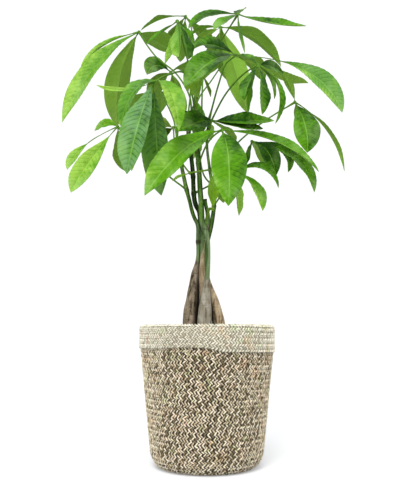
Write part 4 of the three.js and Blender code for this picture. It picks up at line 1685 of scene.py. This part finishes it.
@dataclass(frozen=True)
class Leaf:
    """A palmate leaf: a petiole with a swollen hub, and leaflets that spread from it."""

    name: str
    node: str
    trunk: Trunk
    hub: Point
    petiole: tuple[Point, ...]
    leaflets: tuple[Leaflet, ...]
    young: bool = False
    girth: float = 1.0
    shape: LeafShape = LeafShape()
    petiole_taper: float = 0.2
    petiole_steps: int = 8
    petiole_sides: int = 12
    petiole_tone: float = 0.5
    base_swell: float = 0.75
    end_swell: float = 0.7
    swell_share: float = 0.05
    hub_radius: float = 2.0
    hub_squash: float = 0.8
    hub_rings: int = 7
    least_ring: float = 0.02

    def blade(self, draft: MeshDraft, leaflet: Leaflet, number: int) -> None:
        """Adds one leaflet's blade and its short stalk.

        Args:
            draft: The leaf's mesh.
            leaflet: The leaflet.
            number: Its number on the leaf, which sets its small differences.
        """
        shape = self.shape
        hub, mid, tip = (np.array(p, float) for p in (self.hub, leaflet.mid, leaflet.tip))
        control = 2 * mid - (hub + tip) / 2
        chord = unit(tip - hub)
        outward = unit(np.array([hub[0], hub[1], 0.0]))
        level = np.cross(chord, square_to(UP + shape.outward_lean * outward, chord))
        length = float(np.linalg.norm(mid - hub) + np.linalg.norm(tip - mid))
        veins = max(shape.least_veins, round(length / shape.vein_spacing))
        even = np.linspace(0, shape.even_share, veins * shape.vein_rows)
        share = np.concatenate([even, shape.tip_rows])
        half, body = shape.half_width(share, leaflet.width, leaflet.bare), shape.body(share)
        line = (
            np.outer((1 - share) ** 2, hub) + np.outer(2 * share * (1 - share), control)
            + np.outer(share ** 2, tip)
        )
        headed = np.outer(1 - share, control - hub) + np.outer(share, tip - control)
        across = [-c for c in reversed(shape.columns[1:])] + list(shape.columns)
        sway = shape.sway * math.sin(shape.sway_rate * number + hub[0])
        top, under, place = [], [], []
        for i, at in enumerate(share):
            along = unit(headed[i])
            side = square_to(level, along)
            face = np.cross(side, along)
            turn = shape.roll_sway * sway * math.sin(math.pi * at * shape.roll_rate)
            roll = math.radians(leaflet.roll + turn)
            wide = side * math.cos(roll) + face * math.sin(roll)
            normal = face * math.cos(roll) - side * math.sin(roll)
            for column in across:
                reach = abs(column)
                back = half[i] * reach * (shape.vein_slope + shape.vein_curve * reach) / length
                spot = Spot(at, column, half[i], body[i], veins * (at - back))
                lift = shape.lift(spot, number, leaflet.sheen)
                ridge = shape.rib_height * (1 - shape.rib_taper * at)
                ridge *= max(0.0, 1 - reach / shape.rib_width)
                skin = shape.thickness / 2 * (1 - shape.edge_thinning * reach ** 4)
                middle = line[i] + wide * (column * half[i]) + normal * lift
                top.append(middle + normal * (skin - shape.rib_groove * ridge * body[i]))
                under.append(middle - normal * (skin + ridge))
                place.append((at, column, spot.veins))
        size = len(place)
        looks, sheens = np.zeros((2 * size, 3)), np.zeros((2 * size, 3))
        looks[:, 0] = leaflet.tone
        looks[size:, 1] = 1.0
        sheens[:size, 0] = leaflet.sheen
        draft.add(
            np.array(top + under), shell_faces(len(share), len(across)),
            blade_place=np.array(place + place), blade_look=looks, blade_sheen=sheens,
        )
        neck = line[share < shape.neck]
        self.stalk(draft, neck, np.linspace(*shape.neck_radii, len(neck)), shape.neck_sides, leaflet.tone)

    def stalk(self, draft: MeshDraft, line: np.ndarray, radii: np.ndarray, sides: int, tone: float) -> None:
        """Adds a round green stalk.

        Args:
            draft: The leaf's mesh.
            line: The points of its middle.
            radii: Its radius at each point.
            sides: How many sides it has.
            tone: Its shade.
        """
        place = np.tile((0.0, 1.0, 0.5), (len(line), 1))
        look = np.tile((tone, 0.0, 1.0), (len(line), 1))
        draft.tube(line, radii, sides, blade_place=place, blade_look=look, blade_sheen=np.zeros_like(look))

    def build(self, green: bpy.types.Material) -> bpy.types.Object:
        """Makes the leaf.

        Args:
            green: The leaf finish.

        Returns:
            The leaf, as one piece.
        """
        draft = MeshDraft()
        line = line_through([*self.petiole, self.hub], self.petiole_steps)
        share = np.linspace(0, 1, len(line))
        radii = self.girth * (1 - self.petiole_taper * share)
        for swell, away in ((self.base_swell, share), (self.end_swell, 1 - share)):
            radii = radii + swell * np.exp(-((away / self.swell_share) ** 2))
        self.stalk(draft, line, radii, self.petiole_sides, self.petiole_tone)
        ball = np.linspace(0, math.pi, self.hub_rings)
        along = unit(line[-1] - line[-2])
        rings = line[-1] - np.outer(np.cos(ball), along) * self.hub_radius * self.hub_squash
        radii = np.maximum(np.sin(ball), self.least_ring) * self.hub_radius
        self.stalk(draft, rings, radii, self.petiole_sides, self.petiole_tone)
        for number, leaflet in enumerate(self.leaflets):
            self.blade(draft, leaflet, number)
        slot = Slot.YOUNG_LEAF if self.young else Slot.LEAF_GREEN
        return seat(draft.build(self.name, green), slot, self.node)


def leaf(
    name: str, trunk: str, hub: Point, petiole: Sequence[Point], *rows: tuple[Point | float, ...],
    girth: float = 1.0,
) -> Leaf:
    """Reads a leaf from its rows.

    Args:
        name: Its node's name.
        trunk: The place of the stem that it grows from.
        hub: Where its leaflets meet.
        petiole: The places that its petiole passes through, up to the hub.
        *rows: Each leaflet's mid, tip, width, roll and tone, and where they aren't the usual, bare and sheen.
        girth: The petiole's radius at its foot.

    Returns:
        The leaf.
    """
    return Leaf(
        name=f"{name}_blades", node=name, trunk=Trunk(trunk), hub=hub, petiole=tuple(petiole),
        leaflets=tuple(Leaflet(*row) for row in rows), young=name.startswith("young"), girth=girth,
    )


# The leaves and stems of this plant


LEAVES: tuple[Leaf, ...] = (
    leaf("leaf_top_left", "front", (-77, 5, 470),
         [(-11.5, -3.5, 338.5), (-17, 1, 360), (-19, 4, 392), (-35, 8, 422), (-56, 8, 440), (-68, 6, 455)],
         ((-118, 25, 465), (-146, 28, 439), 16, 45, 0.75, 0.15),
         ((-121, -8, 425), (-154, -20, 355), 28, 55, 0.72), ((-101, 30, 427), (-105, 45, 372), 30, -35, 0.9),
         ((-59, 34, 473), (-37, 50, 466), 28, -5, 0.5), ((-98, 60, 459), (-103, 80, 421), 24, 0, 0.5)),
    leaf("leaf_top_centre", "front", (-31, -50, 454), [(-13, 3, 398), (-19, -8, 421), (-25, -26, 438)],
         ((-48, -48, 442), (-62, -48, 430), 8, 25, 0.35, 0.1),
         ((-31, -68, 422), (-42, -72, 397), 17, -15, 0.6), ((-28, -78, 421), (-27, -92, 395), 21, -45, 0.7),
         ((-21, -44, 444), (-15, -44, 430), 14, -5, 0.45), ((-23, -58, 429), (-20, -62, 406), 21, 65, 0.25)),
    leaf("leaf_top_behind", "back", (-26, 48, 512), [(-22.5, 22, 369.5), (-19, 32, 412), (-19, 45, 497)],
         ((-53, 47, 509), (-79, 42, 491), 15, 30, 0.45, 0.25), ((-30, 75, 492), (-34, 88, 472), 20, 10, 0.3),
         ((-5, 85, 505), (9, 98, 487), 20, -25, 0.3), ((-39, 72, 503), (-49, 78, 483), 18, 20, 0.3)),
    leaf("leaf_top_right", "front", (34, -20, 478),
         [(-10.5, -4.5, 326), (-6, -3, 352), (-5.5, 3, 392), (-2, 17, 432), (17, 16, 466)],
         ((2, -26, 473), (-20, -26, 458), 18, 30, 0.2), ((69, -34, 460), (106, -32, 458), 20, -35, 0.5),
         ((34, -48, 441), (39, -52, 418), 7, 15, 0.4), ((37, -2, 490), (43, 14, 503), 14, 35, 0.15),
         ((21, -46, 457), (7, -58, 440), 19, -20, 0.35)),
    leaf("leaf_crown_back", "back", (17, 60, 504), [(-21.5, 20, 361.5), (-5, 38, 427), (12, 52, 473)],
         ((-4, 59, 502), (-23, 60, 491), 12, 25, 0.6, 0.15), ((2, 56, 493), (-16, 56, 481), 13, 5, 0.6, 0.15),
         ((58, 65, 493), (90, 60, 453), 25, -10, 0.55), ((33, 68, 459), (48, 58, 394), 29, 30, 0.65),
         ((14, 80, 484), (-1, 84, 454), 26, 20, 0.4)),
    leaf("leaf_upper_right", "right", (32, -10, 435), [(2, -6, 362), (13, -6, 404), (21, -8, 426)],
         ((5, -48, 411), (-22, -78, 370), 31, 0, 0.27),
         ((106, -20, 413), (143, -25, 364), 25, -60, 0.62, 0.3, 0.3),
         ((5, 14, 459), (-15, 10, 452), 20, 65, 0.08), ((52, 30, 445), (68, 48, 429), 24, 15, 0.3),
         ((79, 12, 420), (117, 28, 419), 19, 20, 0.95)),
    leaf("leaf_right_front", "right", (52, -60, 401), [(1, -5, 354), (20, -24, 385), (40, -50, 398)],
         ((54, -80, 369), (53, -82, 341), 17, 25, 0.3), ((72, -62, 376), (68, -62, 339), 15, 5, 0.5),
         ((66, -40, 409), (82, -25, 407), 13, -55, 0.1), ((66, -42, 393), (70, -38, 374), 12, -45, 0.3),
         ((41, -80, 375), (36, -86, 354), 17, -45, 0.1), ((42, -50, 381), (42, -45, 356), 17, -15, 0.65),
         ((41, -50, 414), (28, -46, 416), 14, 20, 0.2)),
    leaf("leaf_far_right", "right", (97, 0, 385), [(6, -6, 287), (27, 4, 332), (61, 8, 364)],
         ((105, -18, 351), (105, -25, 320), 28, -60, 0.33), ((132, 5, 355), (149, 0, 307), 12, 5, 0.45, 0.2),
         ((91, -6, 401), (81, -14, 414), 9, -40, 0.7), ((106, 30, 378), (113, 52, 366), 15, 10, 0.3),
         ((113, 25, 369), (121, 40, 347), 22, 0, 0.3)),
    leaf("leaf_front_low", "front", (15, -60, 333), [(-9, -5.5, 313.5), (-1, -26, 327), (7, -48, 331)],
         ((20, -96, 293), (19, -112, 245), 33, -10, 0.43), ((71, -55, 322), (112, -50, 293), 22, -15, 0.48),
         ((18, -70, 295), (16, -68, 262), 22, -10, 0.4), ((-22, -88, 304), (-56, -110, 255), 31, 15, 0.52)),
    leaf("leaf_centre", "right", (5, -22, 356), [(0, -3.5, 339), (3, -12, 350)],
         ((37, -22, 356), (73, -5, 362), 21, -30, 0.35), ((35, -24, 350), (60, -14, 350), 15, -35, 0.2),
         ((-9, -32, 351), (-32, -46, 336), 29, 30, 0.2), ((20, 2, 353), (32, 18, 345), 16, 0, 0.15)),
    leaf("leaf_front_left", "front", (-53, -70, 379), [(-13, 1.5, 378), (-23, -16, 410), (-40, -50, 395)],
         ((-35, -98, 359), (-26, -108, 316), 22, 25, 0.78),
         ((-72, -76, 366), (-85, -72, 333), 21, 30, 0.45, -0.12, 0.2),
         ((-64, -98, 327), (-73, -105, 276), 30, 15, 0.32, 0.05, 0.7),
         ((-49, -72, 317), (-44, -70, 264), 30, 5, 0.42, 0.05, 0.25),
         ((-69, -50, 338), (-76, -45, 295), 25, 55, 0.7),
         ((-84, -60, 375), (-111, -62, 379), 5, 60, 0.95, 0.2)),
    leaf("leaf_far_left", "left", (-95, -20, 350), [(-21.5, -4, 285), (-42, -8, 300), (-71, -14, 326)],
         ((-108, -14, 355), (-122, -6, 350), 13, 50, 0.55),
         ((-130, -15, 331), (-147, -20, 303), 13, 60, 0.8, 0.45),
         ((-120, -38, 307), (-136, -48, 272), 22, 65, 0.95, 0.12),
         ((-95, 15, 335), (-89, 25, 312), 22, 20, 0.4), ((-80, 10, 347), (-64, 20, 327), 22, -15, 0.3)),
    leaf("young_leaf_left", "back", (-38, 20, 363), [(-15.5, 9.5, 303), (-27, 14, 319), (-36, 18, 343)],
         ((-49, 18, 366), (-59, 14, 372), 16, 80, 0.15), ((-46, 22, 359), (-54, 20, 356), 8, 70, 0.2),
         ((-46, 24, 356), (-53, 26, 348), 11, 70, 0.15)),
    leaf("young_leaf_centre", "front", (-4, -25, 407), [(-12.5, 0.5, 370), (-10, -10, 390), (-8, -20, 402)],
         ((-10, -36, 391), (-8, -40, 375), 17, -30, 0.8), ((0, -28, 392), (4, -28, 380), 8, 40, 0.3),
         ((-17, -20, 398), (-20, -15, 390), 11, 25, 0.6)),
    leaf("leaf_inner_left", "left", (-42, 30, 433), [(-33.5, 3.5, 342.5), (-30, 14, 381), (-34, 24, 414)],
         ((-58, 20, 437), (-68, 14, 423), 22, 85, 0.12), ((-56, 30, 419), (-66, 36, 397), 21, -20, 0.2),
         ((-36, 42, 414), (-35, 48, 386), 21, 5, 0.25), ((-25, 50, 447), (-13, 62, 432), 21, -5, 0.2)),
    leaf("leaf_lower_right", "back", (52, 40, 353), [(-14.5, 7, 283.5), (17, 24, 305), (46, 36, 332)],
         ((69, 22, 334), (76, 15, 305), 20, -80, 0.1), ((90, 55, 345), (96, 62, 322), 17, -75, 0.35),
         ((104, 50, 335), (123, 42, 293), 20, -70, 0.4), ((45, 30, 334), (36, 26, 313), 11, 85, 0.3),
         ((64, 72, 352), (73, 92, 335), 21, 0, 0.2)),
    leaf("leaf_low_right", "right", (31, -15, 302), [(7, -5, 267), (16, -8, 280), (24, -12, 292)],
         ((59, -10, 308), (76, -10, 286), 16, -35, 0.4), ((50, -25, 283), (57, -30, 257), 16, -25, 0.7),
         ((32, -20, 274), (33, -25, 253), 16, 65, 0.6), ((22, 12, 289), (18, 20, 276), 19, 45, 0.4)),
    leaf("young_shoot_right", "front", (6, -30, 259), [(-2.5, -8, 241.5), (0, -6, 255), (2, -16, 261)],
         ((6, -33, 276), (8, -38, 294), 13, -10, 0.75), girth=1.7),
    leaf("young_shoot_left", "right", (-18, -26, 298), [(2.5, -5, 307), (-6, -22, 301)],
         ((-27, -28, 294), (-36, -28, 289), 6, 20, 0.8, 0.15)),
    leaf("leaf_back_left", "left", (-59, 95, 435), [(-32, 2, 334.5), (-39, 45, 380), (-51, 80, 416)],
         ((-77, 118, 422), (-89, 128, 385), 24, -15, 0.4), ((-91, 108, 424), (-114, 112, 401), 24, -10, 0.4),
         ((-59, 122, 438), (-64, 144, 424), 22, 0, 0.4), ((-40, 105, 431), (-33, 112, 405), 22, -5, 0.35)),
    leaf("leaf_back_top", "back", (22, 95, 476), [(-20.5, 18, 352.5), (-10, 66, 415), (6, 88, 448)],
         ((4, 108, 476), (-10, 120, 457), 24, 10, 0.45), ((36, 112, 463), (44, 122, 436), 24, 10, 0.4),
         ((48, 108, 482), (73, 116, 468), 24, -15, 0.45), ((24, 122, 483), (28, 148, 472), 24, 0, 0.45)),
    leaf("leaf_back_low", "right", (-8, 70, 367), [(6, -5.5, 289), (-3, 10, 304), (-8, 42, 336)],
         ((-23, 82, 360), (-43, 90, 345), 24, -5, 0.3), ((-12, 88, 392), (-13, 98, 424), 24, 0, 0.1),
         ((-1, 100, 384), (6, 125, 382), 22, 20, 0.4), ((-14, 95, 359), (-19, 115, 352), 22, 20, 0.35)),
)

GREY_BARK = StemFinish("bark_grey", (0.36, 0.32, 0.245), (0.47, 0.44, 0.36), (0.15, 0.12, 0.075),
                       (0.11, 0.19, 0.065), (0.25, 0.34, 0.16))
BROWN_BARK = StemFinish("bark_brown", (0.28, 0.228, 0.150), (0.44, 0.34, 0.26), (0.035, 0.023, 0.010),
                        (0.075, 0.145, 0.045), (0.18, 0.275, 0.11))
TAN_BARK = StemFinish("bark_tan", (0.55, 0.42, 0.26), (0.72, 0.58, 0.38), (0.11, 0.07, 0.035),
                      (0.035, 0.10, 0.015), (0.13, 0.24, 0.055))
PALE_BARK = StemFinish("bark_pale", (0.86, 0.66, 0.42), (0.96, 0.84, 0.62), (0.50, 0.34, 0.19),
                       (0.15, 0.26, 0.075), (0.31, 0.45, 0.18), (0.006, 0.020, 0.002), (0.035, 0.080, 0.010))

# Each stem's shaded_sides rows say how much painted shade darkens its left and right flanks, by height.
STEMS: dict[Trunk, Stem] = {
    Trunk.LEFT: Stem("stem_left", "trunk_left", (
        (-17.8, 0, 94, 7.6), (-17.6, 0, 120, 8), (-17.4, 0, 140, 7.8), (-16.9, 0, 155, 7.6),
        (-15.3, -1, 166, 7), (-14.2, -1, 177, 6), (-13.4, -1, 187, 5.1), (-12.6, -1, 194, 4.3),
        (-11.5, -1, 200, 3.3), (-10.2, -1, 206, 2.6), (-9.3, -1, 214, 2.1), (-9.3, -1, 225, 2.1),
        (-9.2, -1, 235, 2.4), (-9.1, -2, 244, 2.5), (-10.3, -3, 249, 2.3), (-12.7, -4, 253, 2),
        (-15.4, -4, 260, 2), (-18.4, -4, 272, 1.9), (-21.8, -4, 285, 2.1), (-27.6, -2, 312, 1.9),
        (-34.1, 4, 345, 1.5)),
        208, -5, (229,), BROWN_BARK, girth=0.1, shaded_sides=(
            (185, 0, 1), (200, 0, 0.6), (215, 0, 0.9), (232, 0, 0.2), (255, 0.4, 0.8), (290, 0.2, 0.5))),
    Trunk.FRONT: Stem("stem_front", "trunk_front", (
        (-2.8, -9, 94, 7.6), (-2.8, -9, 120, 7.9), (-2.8, -9, 140, 7.6), (-2.1, -9, 155, 6.8),
        (-1.6, -8, 166, 5.9), (-1, -8, 176, 4.7), (-0.5, -8, 184, 3.5), (0.3, -8, 192, 2.7),
        (1.2, -8, 200, 2.1), (1.7, -8, 211, 1.9), (1.6, -8, 222, 1.9), (1.1, -8, 229, 2),
        (-0.3, -8, 235, 2.4), (-2.1, -8, 241, 2.7), (-4.1, -8.5, 246, 2.9), (-5.3, -9, 252, 2.9),
        (-5.8, -9, 260, 2.9), (-6.3, -9, 271, 2.9), (-7.3, -7.5, 284, 2.8), (-8.6, -6, 306, 2.6),
        (-11.1, -4, 334, 2.4), (-12.7, 0, 364, 2), (-12.9, 4, 408, 1.7)),
        190, 0, (), GREY_BARK, shaded_sides=(
            (200, 0, 0), (212, 0.5, 0), (228, 0.4, 0), (240, 0.2, 0), (252, 0, 0.8), (300, 0.2, 0.9),
            (350, 0, 0.3))),
    Trunk.RIGHT: Stem("stem_right", "trunk_right", (
        (13, 2, 94, 7.4), (12.8, 2, 120, 7.5), (12.4, 2, 140, 7.1), (9.1, 2, 159, 5.6), (6.2, 2, 170, 4.7),
        (3.6, 2, 179, 3.4), (1.2, 2, 188, 2.5), (-0.1, 2, 198, 2.1), (-0.6, 2, 213, 2), (-0.2, 1.5, 226, 2.1),
        (1.4, 0, 233, 2.3), (2.8, -1, 239, 2.4), (4.2, -1.5, 245, 2.4), (5.6, -2, 253, 2.4),
        (7, -4, 262, 2.2), (7.5, -5, 269, 2.1), (6.4, -6, 284, 1.9), (3, -5, 307, 1.6), (0, -3, 336, 1.4),
        (2.1, -6, 362, 1.2)),
        186, 0, (), TAN_BARK, painted_shade=0.8, fresh_from=226, fresh_to=246, shaded_sides=(
            (120, 1, 0), (164, 0.8, 0), (174, 0, 0), (235, 0, 0), (243, 0, 0.9), (265, 0.3, 0.9),
            (280, 0, 0.3))),
    Trunk.BACK: Stem("stem_back", "trunk_back", (
        (-2, 11, 94, 7.6), (-2, 11, 120, 7.8), (-2.5, 11, 142, 7.2), (-5, 9.5, 166, 4.8), (-5.6, 8, 180, 3.6),
        (-5, 7.5, 200, 3), (-4.4, 7, 214, 2.8), (-4.3, 6.5, 226, 2.7), (-4.3, 6, 234, 2.7),
        (-5.8, 6, 242, 2.6), (-7.1, 6, 250, 2.2), (-7.7, 6, 258, 2), (-8.9, 5, 264, 2), (-11.6, 5, 269, 2.1),
        (-13.4, 6, 275, 2.1), (-14.4, 7, 283, 2), (-15, 9, 295, 1.9), (-15.4, 10, 306, 1.9),
        (-18.5, 14, 335, 1.8), (-24, 25, 383, 1.6)),
        222, 9, (), PALE_BARK, painted_shade=0.08, girth=0.5,
        shaded_sides=((250, 0, 0), (262, 0.9, 0.9), (310, 0.7, 0.7), (360, 0, 0.3))),
    Trunk.STUB: Stem("stem_stub", "trunk_front", (
        (-1.2, -6, 238, 2.2), (0.2, -5.5, 246, 2.4), (0.9, -5, 253, 2.4), (0.4, -4, 261, 2.2),
        (-1.2, -3, 268, 2.0), (-2.1, -3, 275, 1.7)),
        250, 0, (276,), BROWN_BARK, shaded_sides=((200, 0.9, 0.2),)),
}


@dataclass
class Plant:
    """The four stems, the side shoot and all the leaves."""

    green: LeafFinish = LeafFinish(
        "leaf_green", (0.010, 0.058, 0.0006), (0.085, 0.262, 0.004), (0.29, 0.51, 0.065), (0.24, 0.43, 0.055),
        (0.30, 0.52, 0.09), (0.09, 0.22, 0.018),
    )
    tender: LeafFinish = LeafFinish(
        "leaf_tender", (0.09, 0.15, 0.012), (0.17, 0.36, 0.012), (0.25, 0.50, 0.02), (0.26, 0.42, 0.05),
        (0.36, 0.54, 0.10), (0.15, 0.28, 0.025),
    )

    def build(self) -> None:
        """Makes the stems and the leaves."""
        for trunk, stem in STEMS.items():
            joints = [float(each.petiole[0][2]) for each in LEAVES if each.trunk is trunk]
            stem.build(joints, [other for other in STEMS.values() if other is not stem])
        green, tender = self.green.build(), self.tender.build()
        for each in LEAVES:
            each.build(tender if each.young else green)


# Studio and camera


@dataclass
class Studio:
    """A white floor, a white room, a soft key light from the upper left and a wide light overhead."""

    floor_size: float = 12.0
    floor_shades: tuple[Colour, Colour] = ((0.60, 0.61, 0.63), (0.63, 0.64, 0.65))
    floor_grain: Grain = Grain(3.0)
    floor_glow: float = 0.30
    floor_roughness: float = 0.8
    room_light: float = 0.42
    room_white: float = 1.05
    white: tuple[float, ...] = (1.0, 1.0, 1.0, 1.0)
    lights: tuple[tuple[str, float, float, Point], ...] = (
        ("key_light", 2.65, 30.0, (-0.2, -1.2, 1.4)), ("top_light", 1.5, 120.0, (0.1, -0.25, 1.0)),
    )

    def floor(self) -> None:
        """Makes the white floor."""
        half = self.floor_size / 2
        corners = [(-half, -half, 0), (half, -half, 0), (half, half, 0), (-half, half, 0)]
        mesh = bpy.data.meshes.new("floor")
        mesh.from_pydata(corners, [], [(0, 1, 2, 3)])
        floor = bpy.data.objects.new("floor", mesh)
        bpy.context.scene.collection.objects.link(floor)
        paint, nodes, shader = Finish.start("white_floor")
        nodes.feed(shader.inputs["Base Color"], nodes.mix(nodes.noise(self.floor_grain), *self.floor_shades))
        shader.inputs["Roughness"].default_value = self.floor_roughness
        shader.inputs["Emission Color"].default_value = self.white
        seen = nodes.output(nodes.add("ShaderNodeLightPath"), "Is Camera Ray")
        nodes.feed(shader.inputs["Emission Strength"], seen * self.floor_glow)
        mesh.materials.append(paint)

    def room(self) -> None:
        """Makes the room's light, which is whiter where it is seen directly."""
        world = bpy.data.worlds.new("white_room")
        world.use_nodes = True
        nodes = NodeWriter(world.node_tree)
        seen = nodes.output(nodes.add("ShaderNodeLightPath"), "Is Camera Ray")
        backdrop = world.node_tree.nodes["Background"]
        nodes.feed(backdrop.inputs["Strength"], seen * (self.room_white - self.room_light) + self.room_light)
        backdrop.inputs["Color"].default_value = self.white
        bpy.context.scene.world = world

    def build(self) -> None:
        """Makes the floor, the room's light and the lights, each from its name, strength, width and place."""
        self.floor()
        self.room()
        for name, strength, width, place in self.lights:
            light = bpy.data.lights.new(name, "SUN")
            light.energy, light.angle = strength, math.radians(width)
            lamp = bpy.data.objects.new(name, light)
            lamp.location = place
            lamp.rotation_euler = (-Vector(place)).to_track_quat("-Z", "Y").to_euler()
            bpy.context.scene.collection.objects.link(lamp)
        bpy.context.scene.view_settings.view_transform = "Standard"


@dataclass(frozen=True)
class View:
    """The photograph's viewpoint: just below the rim's height, looking slightly up."""

    distance: float = 0.660
    height: float = 0.131
    pitch: float = math.radians(8.5)
    lens: float = 46.66
    sensor: float = 36.0
    nearest: float = 0.01

    def build(self) -> None:
        """Makes the camera and gives it to the scene."""
        camera = bpy.data.cameras.new("camera")
        camera.lens, camera.sensor_width, camera.clip_start = self.lens, self.sensor, self.nearest
        eye = bpy.data.objects.new("camera", camera)
        eye.location = (0.0, -self.distance, self.height)
        eye.rotation_euler = (math.pi / 2 + self.pitch, 0.0, 0.0)
        bpy.context.scene.collection.objects.link(eye)
        bpy.context.scene.camera = eye


# The finishes of the basket, the pot and the soil


MIXED_PLAIT = PlaitFinish(
    "mixed_plait", (0.95, 0.87, 0.70), (0.66, 0.555, 0.385), (0.22, 0.17, 0.095), 0.30, 0.85
)
PALE_PLAIT = PlaitFinish("pale_plait", (0.90, 0.87, 0.76), (0.78, 0.74, 0.60), (0.52, 0.48, 0.36), 0.20, 0.7)
# The cores that show between the strands are painted darker than the strands, as shade in the gaps.
PLAIT_GAP_SHADE = MottledFinish("plait_gap_shade", (0.02, 0.015, 0.008), (0.06, 0.045, 0.025), 260.0, 0.9, 0.0008)
PALE_PLAIT_GAP_SHADE = MottledFinish(
    "pale_plait_gap_shade", (0.27, 0.24, 0.16), (0.42, 0.38, 0.28), 260.0, 0.9, 0.0008
)
POT_PLASTIC = MottledFinish("pot_plastic", (0.012, 0.012, 0.012), (0.025, 0.024, 0.022), 90.0, 0.5, 0.0002)
DARK_EARTH = MottledFinish("dark_earth", (0.018, 0.011, 0.007), (0.085, 0.055, 0.035), 420.0, 0.95, 0.001)


def main() -> None:
    """Builds every piece."""
    logging.basicConfig(level=logging.INFO, format="%(name)s: %(message)s")
    View().build()
    Studio().build()
    plaits = (MIXED_PLAIT, PALE_PLAIT, PLAIT_GAP_SHADE, PALE_PLAIT_GAP_SHADE)
    Basket().build(*(finish.build() for finish in plaits))
    pot = NurseryPot()
    pot.build(POT_PLASTIC.build())
    Soil().build(pot, DARK_EARTH.build())
    Plant().build()


if __name__ == "__main__":
    main()
